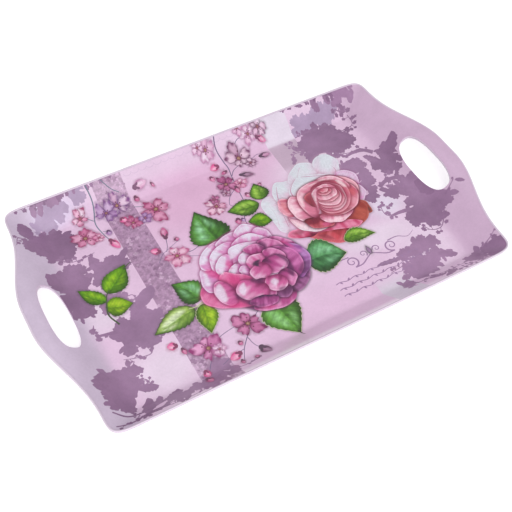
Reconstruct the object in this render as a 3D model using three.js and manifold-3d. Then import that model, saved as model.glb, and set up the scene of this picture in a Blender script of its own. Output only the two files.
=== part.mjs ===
// Serving tray with two cut-out handles.
//
// The tray is one moulding: a flat floor, two sloping long sides, and two end panels that
// sweep up in an S into bowed grips, each with a finger slot. A printed foil and a clear
// glaze coat lie on it as two thin skins, inside a raised rim lip.
//
// Millimetres, +Z up. The origin is the middle of the foot ring's base, +X is along the
// tray and +Y across it.

import * as THREE from 'three';
import { mergeVertices } from 'three/addons/utils/BufferGeometryUtils.js';
import Module from 'manifold-3d';

// ---- driving dimensions ------------------------------------------------------------

const CORNER_HALF_LENGTH = 220;
const HALF_WIDTH = 145;
const FLOOR_HALF_LENGTH = 182.7;
const FLOOR_HALF_WIDTH = 115;
const WALL_RISE = 23.4;
const FOLD_FRACTION = 0.2; // part of the wall's run that the curved foot of the wall takes
const CORNER_POWER = 5.2; // roundness of the corners: a higher power is a tighter corner

const GRIP_BULGE = 23.65; // how far the end bows out past the corners
const GRIP_RISE = 6; // how far the grip stands above the corners
const GRIP_HALF_SPAN = 131.5; // the bow ends this far from the middle of the end
const GRIP_FLAT_FRACTION = 0.1; // middle part of the bow that is straight
const GRIP_POWER = 1.295; // fullness of the bow
const SWEEP_START = 2.3; // at the middle, the panel's S starts this far past the fold
const GRIP_FLANGE = 9.65; // and ends this far inside the grip's edge, where it is level

const SLOT_CENTRE = 213.25;
const SLOT_HALF_WIDTH = 11.75;
const SLOT_HALF_LENGTH = 40.3;
const SLOT_POWER = 2.6;

const WALL_THICKNESS = 2.5;
const FOOT_HEIGHT = 2;
const FOOT_INSET = 7; // from the fold to the foot ring's outer wall
const FOOT_WIDTH = 5;
const FOOT_CORNER_RADIUS = 16;

const LIP_WIDTH = 1.8;
const LIP_HEIGHT = 0.25; // crest of the lip above the glaze
const LIP_DROP = 0.9; // from the glaze down to where the rim's outer edge is upright
const SKIN_GAP = 0.05; // between the moulding and the foil, and the foil and the glaze
const SKIN_EDGE_GAP = 0.25; // from the skins' edge to the lip
const FOIL_THICKNESS = 0.2;
const GLAZE_THICKNESS = 0.4;
const SKIN_SLOT_MARGIN = 0.6; // the skins stop this far short of the slot's edge

// Facets around the outline, and steps up the walls.
const END_STEPS = 16;
const CORNER_STEPS = 5;
const SIDE_STEPS = 4;
const WALL_STEPS = 9;
const UNDERSIDE_STEPS = 6;
const SLOT_STEPS = 44;

const FLOOR_TOP = FOOT_HEIGHT + WALL_THICKNESS;
const FOIL_BASE = SKIN_GAP;
const GLAZE_BASE = FOIL_BASE + FOIL_THICKNESS + SKIN_GAP;
const SKIN_TOP = GLAZE_BASE + GLAZE_THICKNESS;

const LILAC = '#c9afcb';
const PRINT_PINK = '#dcb6d6';
const CLEAR = '#f4eef6';

// ---- the dish's surface ------------------------------------------------------------

const mix = (a, b, t) => a + (b - a) * t;
const clamp01 = (t) => Math.min(Math.max(t, 0), 1);

// Fullness of the bowed end at y: 1 at its middle, 0 at its corners.
function bow(y) {
  const t = clamp01((Math.abs(y) / GRIP_HALF_SPAN - GRIP_FLAT_FRACTION) / (1 - GRIP_FLAT_FRACTION));
  return Math.pow(0.5 + 0.5 * Math.cos(Math.PI * t), GRIP_POWER);
}

const wallRun = HALF_WIDTH - FLOOR_HALF_WIDTH;
const panelRun = (y) => CORNER_HALF_LENGTH - FLOOR_HALF_LENGTH + GRIP_BULGE * bow(y);

// A straight slope whose foot curves up out of the floor.
function ramp(t) {
  const slope = 1 / (1 - FOLD_FRACTION / 2);
  if (t < FOLD_FRACTION) return (slope * t * t) / (2 * FOLD_FRACTION);
  return slope * (t - FOLD_FRACTION / 2);
}

// The end panel: a ramp at the corners, and an S that ends in a level grip at the middle.
function panel(t, y) {
  const run = panelRun(y);
  const fullness = bow(y);
  const start = (SWEEP_START * fullness) / run;
  const end = 1 - (GRIP_FLANGE * fullness) / run;
  const s = clamp01((t - start) / (end - start));
  return mix(ramp(t), s * s * (3 - 2 * s), fullness);
}

// Height of the dish's surface above its floor.
function dishHeight(x, y) {
  const u = Math.max(Math.abs(x) - FLOOR_HALF_LENGTH, 0) / panelRun(y);
  const v = Math.max(Math.abs(y) - FLOOR_HALF_WIDTH, 0) / wallRun;
  if (u === 0 && v === 0) return 0;
  const total = u ** CORNER_POWER + v ** CORNER_POWER;
  const t = total ** (1 / CORNER_POWER);
  const endShare = u ** CORNER_POWER / total;
  return (WALL_RISE + GRIP_RISE * bow(y)) * mix(ramp(t), panel(t, y), endShare);
}

// How much a wall of even thickness measures when it is taken straight down.
function steepness(x, y) {
  const step = 0.05;
  const dx = (dishHeight(x + step, y) - dishHeight(x - step, y)) / (2 * step);
  const dy = (dishHeight(x, y + step) - dishHeight(x, y - step)) / (2 * step);
  return Math.hypot(1, dx, dy);
}

// ---- outlines ----------------------------------------------------------------------
// Every outline has the same number of points, which start at the end of the +X edge's
// first corner and go round anticlockwise, so two outlines join point to point.

function quarterSteps() {
  const steps = [];
  for (let i = 0; i < END_STEPS / 2; i += 1) steps.push({ part: 'end', t: (2 * i) / END_STEPS });
  for (let i = 0; i < CORNER_STEPS; i += 1) steps.push({ part: 'corner', t: i / CORNER_STEPS });
  for (let i = 0; i < SIDE_STEPS / 2; i += 1) steps.push({ part: 'side', t: (2 * i) / SIDE_STEPS });
  return steps;
}

// Makes an outline from a function that gives the points of its first quarter.
function outline(quarterPoint) {
  const first = quarterSteps().map(quarterPoint);
  const last = quarterPoint({ part: 'side', t: 1 });
  const quarter = [...first, last];
  const flip = (points, sx, sy) => points.map((p) => new THREE.Vector2(sx * p.x, sy * p.y));
  return [
    ...quarter.slice(0, -1),
    ...flip(quarter, -1, 1).reverse().slice(0, -1),
    ...flip(quarter, -1, -1).slice(0, -1),
    ...flip(quarter, 1, -1).reverse().slice(0, -1),
  ];
}

function roundedRectangle(halfX, halfY, radius) {
  return outline(({ part, t }) => {
    if (part === 'end') return new THREE.Vector2(halfX, t * (halfY - radius));
    if (part === 'side') return new THREE.Vector2((1 - t) * (halfX - radius), halfY);
    const angle = (t * Math.PI) / 2;
    const x = halfX - radius + radius * Math.cos(angle);
    return new THREE.Vector2(x, halfY - radius + radius * Math.sin(angle));
  });
}

function rimOutline() {
  return outline(({ part, t }) => {
    if (part === 'side') return new THREE.Vector2((1 - t) * FLOOR_HALF_LENGTH, HALF_WIDTH);
    const angle = part === 'end' ? 0 : (t * Math.PI) / 2;
    const u = Math.cos(angle) ** (2 / CORNER_POWER);
    const v = Math.sin(angle) ** (2 / CORNER_POWER);
    const y = part === 'end' ? t * FLOOR_HALF_WIDTH : FLOOR_HALF_WIDTH + wallRun * v;
    return new THREE.Vector2(FLOOR_HALF_LENGTH + panelRun(y) * u, y);
  });
}

// Moves every point of an outline inwards, square to the outline.
function inset(points, distance) {
  return points.map((p, i) => {
    const before = points[(i + points.length - 1) % points.length];
    const after = points[(i + 1) % points.length];
    const along = after.clone().sub(before).normalize();
    return new THREE.Vector2(p.x - along.y * distance, p.y + along.x * distance);
  });
}

const rim = rimOutline();
const fold = roundedRectangle(FLOOR_HALF_LENGTH, FLOOR_HALF_WIDTH, 0);
const skinEdge = inset(rim, LIP_WIDTH + SKIN_EDGE_GAP);
const lipFoot = inset(rim, LIP_WIDTH);

// ---- solids of rings ---------------------------------------------------------------

const between = (from, to, t) => from.map((p, i) => p.clone().lerp(to[i], t));
const lift = (points, height) => points.map((p) => new THREE.Vector3(p.x, p.y, height(p.x, p.y)));
const axisPoint = (z) => rim.map(() => new THREE.Vector3(0, 0, z));

// Rings on the dish's surface from the fold up to the skins' edge, raised by an offset.
function dishRings(offset) {
  const rings = [];
  for (let k = 0; k <= WALL_STEPS; k += 1) {
    const points = between(fold, skinEdge, k / WALL_STEPS);
    rings.push(lift(points, (x, y) => FLOOR_TOP + offset + dishHeight(x, y)));
  }
  return rings;
}

// Joins the rings into one closed body. The first and the last ring lie on the axis. A
// surface has the same triangles whether its rings run outwards or inwards, so that two
// bodies can share it.
function ringSolid(rings) {
  const count = rings[0].length;
  const positions = [];
  for (const ring of rings) {
    for (const p of ring) positions.push(p.x, p.y, p.z);
  }
  const shared = new THREE.BufferGeometry();
  shared.setAttribute('position', new THREE.Float32BufferAttribute(positions, 3));
  const index = [];
  for (let r = 0; r + 1 < rings.length; r += 1) {
    const outwards = rings[r + 1][0].x > rings[r][0].x;
    for (let i = 0; i < count; i += 1) {
      const j = (i + 1) % count;
      const [a, b] = [r * count + i, r * count + j];
      const [c, d] = [a + count, b + count];
      if (outwards) index.push(a, c, d, a, d, b);
      else index.push(a, c, b, b, c, d);
    }
  }
  shared.setIndex(index);
  return withoutEmptyTriangles(mergeVertices(shared, 1e-4));
}

function withoutEmptyTriangles(geometry) {
  const old = geometry.index.array;
  const kept = [];
  for (let i = 0; i < old.length; i += 3) {
    const [a, b, c] = [old[i], old[i + 1], old[i + 2]];
    if (a !== b && b !== c && c !== a) kept.push(a, b, c);
  }
  geometry.setIndex(kept);
  return geometry;
}

// The lip's section: distance in from the rim, and height over the glaze's surface.
const lipSection = [
  [LIP_WIDTH, 0],
  [0.75 * LIP_WIDTH, LIP_HEIGHT],
  [0.35 * LIP_WIDTH, LIP_HEIGHT],
  [0.08 * LIP_WIDTH, -LIP_DROP / 3],
  [0, -LIP_DROP],
];

function bodyGeometry() {
  const overSkins = (rise) => (x, y) => FLOOR_TOP + SKIN_TOP + rise + dishHeight(x, y);
  const onDish = (x, y) => FLOOR_TOP + dishHeight(x, y);
  const under = (x, y) => onDish(x, y) - WALL_THICKNESS * steepness(x, y);
  const lip = lipSection.map(([distance, rise]) => lift(inset(rim, distance), overSkins(rise)));

  const footOuter = roundedRectangle(
    FLOOR_HALF_LENGTH - FOOT_INSET,
    FLOOR_HALF_WIDTH - FOOT_INSET,
    FOOT_CORNER_RADIUS,
  );
  const footInner = inset(footOuter, FOOT_WIDTH);
  const underRim = inset(rim, 0.3);

  const underside = [lift(rim, (x, y) => under(x, y) + 0.4)];
  for (let k = 0; k <= UNDERSIDE_STEPS; k += 1) {
    underside.push(lift(between(underRim, fold, k / UNDERSIDE_STEPS), under));
  }
  return ringSolid([
    axisPoint(FLOOR_TOP),
    ...dishRings(0),
    lift(lipFoot, onDish),
    ...lip,
    ...underside,
    lift(footOuter, () => FOOT_HEIGHT),
    lift(inset(footOuter, 0.6), () => 0),
    lift(inset(footOuter, FOOT_WIDTH - 0.6), () => 0),
    lift(footInner, () => FOOT_HEIGHT),
    axisPoint(FOOT_HEIGHT),
  ]);
}

function skinGeometry(base, thickness) {
  return ringSolid([
    axisPoint(FLOOR_TOP + base + thickness),
    ...dishRings(base + thickness),
    ...dishRings(base).reverse(),
    axisPoint(FLOOR_TOP + base),
  ]);
}

// ---- finger slots ------------------------------------------------------------------

function slotCutter(side, margin) {
  const points = [];
  for (let i = 0; i < SLOT_STEPS; i += 1) {
    const angle = (2 * Math.PI * i) / SLOT_STEPS;
    const c = Math.cos(angle);
    const s = Math.sin(angle);
    const x = (SLOT_HALF_WIDTH + margin) * Math.sign(c) * Math.abs(c) ** (2 / SLOT_POWER);
    const y = (SLOT_HALF_LENGTH + margin) * Math.sign(s) * Math.abs(s) ** (2 / SLOT_POWER);
    points.push(new THREE.Vector2(side * SLOT_CENTRE + x, y));
  }
  const depth = 2 * (WALL_RISE + GRIP_RISE);
  const cutter = new THREE.ExtrudeGeometry(new THREE.Shape(points), { depth, bevelEnabled: false });
  cutter.translate(0, 0, -depth / 4);
  return cutter;
}

const wasm = await Module();
wasm.setup();

function toManifold(geometry) {
  const bare = geometry.clone();
  bare.deleteAttribute('normal');
  bare.deleteAttribute('uv');
  const merged = withoutEmptyTriangles(mergeVertices(bare, 1e-4));
  const mesh = new wasm.Mesh({
    numProp: 3,
    vertProperties: new Float32Array(merged.attributes.position.array),
    triVerts: new Uint32Array(merged.index.array),
  });
  return new wasm.Manifold(mesh);
}

function fromManifold(solid) {
  const mesh = solid.getMesh();
  const geometry = new THREE.BufferGeometry();
  geometry.setAttribute('position', new THREE.Float32BufferAttribute(mesh.vertProperties, 3));
  geometry.setIndex(Array.from(mesh.triVerts));
  geometry.computeVertexNormals();
  return geometry;
}

function withSlots(geometry, margin) {
  const cut = [-1, 1].reduce(
    (solid, side) => solid.subtract(toManifold(slotCutter(side, margin))),
    toManifold(geometry),
  );
  return fromManifold(cut);
}

// ---- the tray ----------------------------------------------------------------------

function namedMesh(name, geometry, finish) {
  const mesh = new THREE.Mesh(geometry, new THREE.MeshStandardMaterial(finish));
  mesh.name = name;
  return mesh;
}

const trayBody = namedMesh('tray_body', withSlots(bodyGeometry(), 0), {
  color: LILAC,
  roughness: 0.3,
  metalness: 0,
});

const printedFoil = namedMesh(
  'printed_foil',
  withSlots(skinGeometry(FOIL_BASE, FOIL_THICKNESS), SKIN_SLOT_MARGIN),
  { color: PRINT_PINK, roughness: 0.6, metalness: 0 },
);

const clearGlaze = namedMesh(
  'clear_glaze',
  withSlots(skinGeometry(GLAZE_BASE, GLAZE_THICKNESS), SKIN_SLOT_MARGIN),
  { color: CLEAR, roughness: 0.15, metalness: 0, transparent: true, opacity: 0.35 },
);

const tray = new THREE.Group();
tray.add(trayBody, printedFoil, clearGlaze);

export default tray;
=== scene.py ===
"""A floral serving tray with bowed grips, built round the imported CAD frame.

Lengths are in millimetres up to the point where a mesh is made, and metres in Blender.
The print is drawn as flat outlines in plan, lowest first. One triangle mesh is then cut
along all of them, lifted onto the dish, and coloured from the uppermost outline.
"""

import math

import bpy
import numpy as np
from mathutils import Matrix, Vector
from mathutils.geometry import delaunay_2d_cdt


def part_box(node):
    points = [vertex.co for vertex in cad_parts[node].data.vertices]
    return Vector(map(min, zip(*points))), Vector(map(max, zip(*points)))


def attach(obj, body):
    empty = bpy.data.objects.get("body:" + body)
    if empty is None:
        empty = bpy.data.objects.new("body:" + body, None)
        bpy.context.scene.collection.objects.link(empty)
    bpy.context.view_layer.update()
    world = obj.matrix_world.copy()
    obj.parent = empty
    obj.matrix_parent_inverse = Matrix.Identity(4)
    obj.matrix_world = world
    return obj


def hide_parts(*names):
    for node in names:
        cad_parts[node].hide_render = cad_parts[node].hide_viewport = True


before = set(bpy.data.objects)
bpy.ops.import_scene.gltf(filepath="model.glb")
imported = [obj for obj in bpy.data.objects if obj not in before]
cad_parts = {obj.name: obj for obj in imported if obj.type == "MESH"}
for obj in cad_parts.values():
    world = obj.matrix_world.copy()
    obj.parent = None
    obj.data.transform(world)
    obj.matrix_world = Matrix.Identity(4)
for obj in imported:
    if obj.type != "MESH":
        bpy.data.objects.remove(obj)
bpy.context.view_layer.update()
MM = 0.001

# ---- the dish's shape ---------------------------------------------------------------

BODY_HIGH = np.array(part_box("tray_body")[1]) / MM
FOIL_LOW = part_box("printed_foil")[0].z / MM
GLAZE_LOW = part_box("clear_glaze")[0].z / MM

GRIP_BULGE = 23.65
GRIP_RISE = 6.0
GRIP_HALF_SPAN = 131.5
GRIP_FLAT_FRACTION = 0.1
GRIP_POWER = 1.295
SWEEP_START = 2.3
GRIP_FLANGE = 9.65
CORNER_HALF_LENGTH = BODY_HIGH[0] - GRIP_BULGE
HALF_WIDTH = BODY_HIGH[1]
FLOOR_HALF_LENGTH = 182.7
FLOOR_HALF_WIDTH = 115.0
WALL_RUN = HALF_WIDTH - FLOOR_HALF_WIDTH
WALL_RISE = 23.4
FOLD_FRACTION = 0.2
CORNER_POWER = 5.2

SLOT_CENTRE = 213.25
SLOT_HALF_WIDTH = 11.75
SLOT_HALF_LENGTH = 40.3
SLOT_POWER = 2.6
SLOPE_STEP = 0.05  # how far apart two heights are read to measure a slope
GRID = 1024  # grid lines in a millimetre, for points that single precision holds exactly

WALL_THICKNESS = 2.5
FOOT_HEIGHT = 2.0
FOOT_INSET = 7.0
FOOT_WIDTH = 5.0
FOOT_CORNER_RADIUS = 16.0
LIP_WIDTH = 1.8
LIP_HEIGHT = 0.25
LIP_DROP = 0.9
GLAZE_THICKNESS = 0.4
SKIN_SLOT_MARGIN = 0.6

FLOOR_TOP = FOOT_HEIGHT + WALL_THICKNESS
PLAN_LOW, PLAN_HIGH = (-250, -150), (250, 150)  # a rectangle that the whole plan lies in
PRINT_RISE = GLAZE_LOW - FLOOR_TOP + GLAZE_THICKNESS  # the glazed print over the moulding


def smooth(t):
    """0 below 0, 1 above 1, and a soft step between."""
    t = np.clip(t, 0, 1)
    return t * t * (3 - 2 * t)


def bow(y):
    """Fullness of the bowed end: 1 at its middle, 0 at its corners."""
    t = (np.abs(y) / GRIP_HALF_SPAN - GRIP_FLAT_FRACTION) / (1 - GRIP_FLAT_FRACTION)
    return (0.5 + 0.5 * np.cos(np.pi * np.clip(t, 0, 1))) ** GRIP_POWER


def panel_run(y):
    return CORNER_HALF_LENGTH - FLOOR_HALF_LENGTH + GRIP_BULGE * bow(y)


def ramp(t):
    """A straight slope whose foot curves up out of the floor."""
    slope = 1 / (1 - FOLD_FRACTION / 2)
    foot = slope * t * t / (2 * FOLD_FRACTION)
    return np.where(t < FOLD_FRACTION, foot, slope * (t - FOLD_FRACTION / 2))


def panel(t, y):
    """The end panel: a ramp at the corners, an S with a level top at the middle."""
    fullness = bow(y)
    start = SWEEP_START * fullness / panel_run(y)
    end = 1 - GRIP_FLANGE * fullness / panel_run(y)
    return ramp(t) * (1 - fullness) + smooth((t - start) / (end - start)) * fullness


def dish_height(x, y):
    """Height of the dish's surface over its floor."""
    u = np.maximum(np.abs(x) - FLOOR_HALF_LENGTH, 0) / panel_run(y)
    v = np.maximum(np.abs(y) - FLOOR_HALF_WIDTH, 0) / WALL_RUN
    total = np.maximum(u**CORNER_POWER + v**CORNER_POWER, 1e-30)
    t = total ** (1 / CORNER_POWER)
    share = u**CORNER_POWER / total
    rise = WALL_RISE + GRIP_RISE * bow(y)
    return np.where(u + v > 0, rise * (ramp(t) * (1 - share) + panel(t, y) * share), 0.0)


def slopes(height, x, y):
    """How steeply a height function rises along X and along Y."""
    step = SLOPE_STEP
    dx = (height(x + step, y) - height(x - step, y)) / (2 * step)
    dy = (height(x, y + step) - height(x, y - step)) / (2 * step)
    return dx, dy


def steepness(x, y):
    """How much a wall of even thickness measures straight down."""
    dx, dy = slopes(dish_height, x, y)
    return np.sqrt(1 + dx * dx + dy * dy)


# ---- plan outlines of the tray -------------------------------------------------------


def snapped(points):
    """Points moved onto a fine grid."""
    return np.round(points * GRID) / GRID


def four_quarters(quarter):
    """A closed outline from its first quarter, which starts on +X and ends on +Y."""
    back = quarter[::-1]
    corners = (quarter, back * (-1, 1), quarter * (-1, -1), back * (1, -1))
    return snapped(np.vstack([corner[:-1] for corner in corners]))


def rim_outline():
    y = np.linspace(0, FLOOR_HALF_WIDTH, 60, endpoint=False)
    end = np.column_stack([FLOOR_HALF_LENGTH + panel_run(y), y])
    angle = np.linspace(0, np.pi / 2, 49)[:-1]
    c, s = np.cos(angle), np.sin(angle)
    reach = (c**CORNER_POWER + s**CORNER_POWER) ** (-1 / CORNER_POWER)
    u, v = reach * c, reach * s
    y = FLOOR_HALF_WIDTH + WALL_RUN * v
    corner = np.column_stack([FLOOR_HALF_LENGTH + panel_run(y) * u, y])
    x = np.linspace(FLOOR_HALF_LENGTH, 0, 41)
    side = np.column_stack([x, np.full_like(x, HALF_WIDTH)])
    return four_quarters(np.vstack([end, corner, side]))


def rounded_rectangle(half_x, half_y, radius):
    angle = np.linspace(0, np.pi / 2, 17)
    corner = np.column_stack([np.cos(angle), np.sin(angle)]) * radius
    corner += (half_x - radius, half_y - radius)
    y = np.linspace(0, half_y - radius, 20, endpoint=False)
    x = np.linspace(half_x - radius, 0, 33)[1:]
    end = np.column_stack([np.full_like(y, half_x), y])
    side = np.column_stack([x, np.full_like(x, half_y)])
    return four_quarters(np.vstack([end, corner, side]))


def slot_outline(side, margin):
    angle = np.linspace(0, 2 * np.pi, 96, endpoint=False)
    c, s = np.cos(angle), np.sin(angle)
    x = (SLOT_HALF_WIDTH + margin) * np.sign(c) * np.abs(c) ** (2 / SLOT_POWER)
    y = (SLOT_HALF_LENGTH + margin) * np.sign(s) * np.abs(s) ** (2 / SLOT_POWER)
    return snapped(np.column_stack([side * SLOT_CENTRE + x, y]))


def normals(points):
    """Unit vectors square to a closed anticlockwise outline, pointing out of it."""
    along = np.roll(points, -1, 0) - np.roll(points, 1, 0)
    along /= np.maximum(np.linalg.norm(along, axis=1, keepdims=True), 1e-9)
    return np.column_stack([along[:, 1], -along[:, 0]])


def grown(points, distance):
    """A closed outline moved outwards, or inwards by a negative distance."""
    return snapped(points + normals(points) * distance)


def within(outline, points):
    """Indices of the points that an outline goes round, however it crosses itself."""
    near = np.flatnonzero(((points > outline.min(0)) & (points < outline.max(0))).all(1))
    x, y = points[near, 0], points[near, 1]
    winding = np.zeros(len(near), int)
    for (ax, ay), (bx, by) in zip(outline, np.roll(outline, -1, 0)):
        left = (bx - ax) * (y - ay) > (x - ax) * (by - ay)
        winding += (ay <= y) & (by > y) & left
        winding -= (ay > y) & (by <= y) & ~left
    return near[winding != 0]


# ---- print: ink, curves and noise ------------------------------------------------------

PLAIN, PETAL, LEAF, SILHOUETTE, LACE = range(5)  # grain kinds, which the ink's nodes read


def ink(r, g, b):
    """A printed colour, given in display values from 0 to 255, as linear light."""
    c = np.array([r, g, b], float) / 255
    return np.where(c <= 0.04045, c / 12.92, ((c + 0.055) / 1.055) ** 2.4)


def tint(a, b, t):
    """From colour a to colour b, for each t."""
    return a + (b - a) * np.asarray(t, float)[..., None]


def widened(points, distance):
    """A closed outline grown outwards, whichever way it runs."""
    x, y = points[:, 0], points[:, 1]
    area = (x * np.roll(y, -1) - np.roll(x, -1) * y).sum()
    return grown(points, distance if area > 0 else -distance)


def edge_distance(outline, p):
    """Distance from each point to the nearest part of a closed outline."""
    best = np.full(len(p), np.inf)
    for a, b in zip(outline, np.roll(outline, -1, 0)):
        run = b - a
        t = np.clip(((p - a) @ run) / max(run @ run, 1e-12), 0, 1)
        off = p - a - t[:, None] * run
        best = np.minimum(best, (off**2).sum(1))
    return np.sqrt(best)


def spline(points, steps=8, closed=True):
    """A smooth curve through a few points, which may be written as "x,y x,y x,y"."""
    if isinstance(points, str):
        points = [pair.split(",") for pair in points.split()]
    p = np.asarray(points, float)
    if closed:
        p = np.vstack([p[-1:], p, p[:2]])
    else:
        p = np.vstack([2 * p[:1] - p[1:2], p, 2 * p[-1:] - p[-2:-1]])
    t = np.linspace(0, 1, steps, endpoint=False)[:, None]
    runs = []
    for a, b, c, d in zip(p, p[1:], p[2:], p[3:]):
        runs.append(
            0.5
            * (
                2 * b
                + (c - a) * t
                + (2 * a - 5 * b + 4 * c - d) * t**2
                + (3 * b - a - 3 * c + d) * t**3
            )
        )
    if not closed:
        runs.append(p[-2:-1])
    return np.vstack(runs)


def resampled(points, spacing):
    """A closed outline with evenly spaced points."""
    p = np.vstack([points, points[:1]])
    run = np.concatenate([[0], np.cumsum(np.linalg.norm(np.diff(p, axis=0), axis=1))])
    count = max(int(run[-1] / spacing), 8)
    at = np.linspace(0, run[-1], count, endpoint=False)
    return np.column_stack([np.interp(at, run, p[:, 0]), np.interp(at, run, p[:, 1])])


def wave(t, seed, octaves=5, falloff=1.0):
    """Smooth noise from -1 to 1 that repeats when t goes from 0 to 1."""
    rng = np.random.default_rng(seed)
    total = np.zeros_like(t, float)
    weight = 0.0
    for k in range(1, octaves + 1):
        share = 1 / k**falloff
        total += share * np.sin(2 * np.pi * (k * t + rng.random()))
        weight += share
    return total / weight


PRINT = []  # the print's shapes, lowest first


def lay(outline, colour, kind=PLAIN, grain=None, guides=()):
    """Adds a shape. colour and grain are functions of points, or colour is one ink.

    Only petals and leaves have a grain: where each point lies across and along them.
    Guides are lines inside the shape that the mesh follows, so that shading can turn there.
    """
    PRINT.append({
        "outline": outline,
        "colour": colour,
        "kind": kind,
        "grain": grain,
        "lines": (outline, *guides),
        "strength": None,
    })


def wash(outline, colour, strength):
    """Adds a translucent layer. strength is a function of points that is 0 at the outline."""
    PRINT.append({"outline": outline, "colour": colour, "lines": (), "strength": strength})


def soft_shadow(outline, reach, colour, darkest, side=None):
    """Darkens what lies round an outline, less and less out to its reach.

    side is a function of points that is 0 where no shadow falls and 1 where all of it does.
    """

    def strength(p):
        d = edge_distance(outline, p)
        d[within(outline, p)] = 0
        return darkest * smooth(1 - d / reach) * (1 if side is None else side(p))

    wash(widened(outline, reach * 1.1), colour, strength)


def daub(points, colour, most, soft):
    """A brush mark over what is already there: most is its strength, soft its edge's width."""
    outline = spline(points, 6)
    wash(outline, colour, lambda p: most * smooth(edge_distance(outline, p) / soft))


def daubs(rows, colour, most, soft):
    """Brush marks of one colour. Each line of rows is one mark's points."""
    for row in rows.strip().split("\n"):
        daub(row, colour, most, soft)


def axis_of(base, tip):
    """From base to tip: the base, the axis, its length, and unit vectors along and across it."""
    base = np.array(base, float)
    axis = np.array(tip, float) - base
    length = np.linalg.norm(axis)
    along = axis / length
    return base, axis, length, along, np.array([-along[1], along[0]])


def polar(angle_deg, length):
    a = math.radians(angle_deg)
    return np.array([math.cos(a), math.sin(a)]) * length


# ---- print: ground and bands -----------------------------------------------------------

GROUND = ink(225, 193, 221)
GROUND_PINK = ink(221, 176, 208)
GROUND_PALE = ink(231, 212, 231)
LACE_BAND = ink(172, 136, 168)
LACE_DARK = ink(140, 104, 137)
LEFT_END = ink(203, 186, 208)
RIGHT_END = ink(203, 172, 200)

# Soft patches of another tone on the ground: middle, radii, tone and strength. They are partly print and
# partly painted light: the pinker far floor and the paler patches on the near floor and along the far wall
# stand in part for the light and its reflections there.
GROUND_PATCHES = [
    ((-20, 85), (95, 60), GROUND_PINK, 0.95),
    ((65, 95), (50, 45), GROUND_PINK, 0.5),
    ((-20, 5), (110, 70), GROUND_PINK, 0.35),
    ((10, -110), (90, 40), GROUND_PINK, 0.25),
    ((-145, -92), (40, 34), GROUND_PALE, 0.9),
    ((-175, -8), (30, 26), GROUND_PALE, 0.8),
    ((120, -52), (52, 20), GROUND_PALE, 0.9),
    ((115, 70), (60, 34), GROUND_PALE, 0.8),
    ((165, -85), (46, 40), GROUND_PALE, 0.6),
    ((0, 138), (240, 15), GROUND_PALE, 0.45),
    # a painted highlight: bluish white on the far wall's left end
    ((-178, 131), (44, 17), ink(221, 208, 236), 0.9),
    # a painted highlight along the top of the near wall, by the rim
    ((-5, -143), (195, 7), ink(250, 238, 250), 0.9),
    ((152, -20), (24, 20), ink(226, 216, 234), 0.8),
]


def ground_colour(p):
    colour = np.tile(GROUND, (len(p), 1))
    for centre, radius, tone, strength in GROUND_PATCHES:
        d = np.linalg.norm((p - centre) / radius, axis=1)
        colour = tint(colour, tone, strength * smooth(1.25 - d))
    right = smooth((p[:, 0] - 176) / 20)
    left = smooth((-p[:, 0] - 180) / 20)
    colour = tint(colour, RIGHT_END, right * 0.95)
    return tint(colour, LEFT_END, left * 0.95)


def lay_ground():
    lay(grown(rim_outline(), 4), ground_colour)


def strip(x0, x1, y0, y1, seed):
    """An upright band with slightly uneven long edges."""
    raggedness = 0.5
    y = np.linspace(y0, y1, 60)
    t = (y - y0) / (y1 - y0)
    left = np.column_stack([x0 + raggedness * wave(t, seed, 24, 0.2), y])
    right = np.column_stack([x1 + raggedness * wave(t, seed + 1, 24, 0.2), y])
    return np.vstack([left[::-1], right])


def lace_colour(p):
    paler = 0.4 * smooth((p[:, 1] - 112) / 12) + 0.3 * smooth((-80 - p[:, 1]) / 30)
    return tint(LACE_BAND, ground_colour(p), paler)


def grey_band_colour(p):
    """Mauve grey under the far fold, lilac white on the walls, and nothing between."""
    y = p[:, 1]
    wall = tint(ink(226, 214, 230), ink(196, 170, 192), smooth((118 - y) / 5))
    floor = tint(wall, ground_colour(p), smooth((84 - y) / 18) * (y > 0))
    near = tint(ground_colour(p), ink(216, 204, 220), smooth((-96 - y) / 22))
    return np.where((y > 0)[:, None], floor, near)


def lay_bands():
    low, high = -121.5, -87.5
    lay(strip(low, high, -150, 150, 11), lace_colour, LACE)
    lay(strip(82, 117, 66, 150, 13), grey_band_colour)
    lay(strip(82, 117, -150, -96, 15), grey_band_colour)
    rng = np.random.default_rng(5)
    for i in range(260):
        centre = np.array([rng.uniform(low + 1.5, high - 1.5), rng.uniform(-146, 146)])
        size = rng.uniform(0.9, 3.6)
        there = lace_colour(centre[None])[0]
        tone = there + (LACE_DARK - there) * rng.uniform(0.3, 0.8) if i % 3 else tint(there, GROUND, 0.4)
        lay(rosette(centre, size, int(rng.integers(4, 7)), i, 0.4), tone, LACE)
    for x in np.arange(-80, 82, 9.0):
        arc = np.linspace(0, np.pi, 9)
        scallop = np.column_stack([x + 4.5 * np.cos(arc), 140.5 - 2.6 * np.sin(arc)])
        ribbon(scallop, 0.5, 0.5, ink(214, 188, 214))


def rosette(centre, radius, lobes, seed, depth=0.3):
    """A small flower outline: lobes round a centre, slightly uneven."""
    t = np.linspace(0, 1, max(lobes * 7, 24), endpoint=False)
    swell = 1 - depth * np.abs(np.sin(np.pi * lobes * t)) ** 1.6 + 0.12 * wave(t, seed)
    angle = 2 * np.pi * t
    ring = np.column_stack([np.cos(angle), np.sin(angle)]) * (radius * swell)[:, None]
    return ring + centre


# ---- print: silhouettes ------------------------------------------------------------------

MAUVE = ink(168, 131, 167)
MAUVE_DEEP = ink(128, 94, 128)
MAUVE_LIGHT = ink(178, 157, 188)
FRAY_SPACING = 1.1


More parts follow.
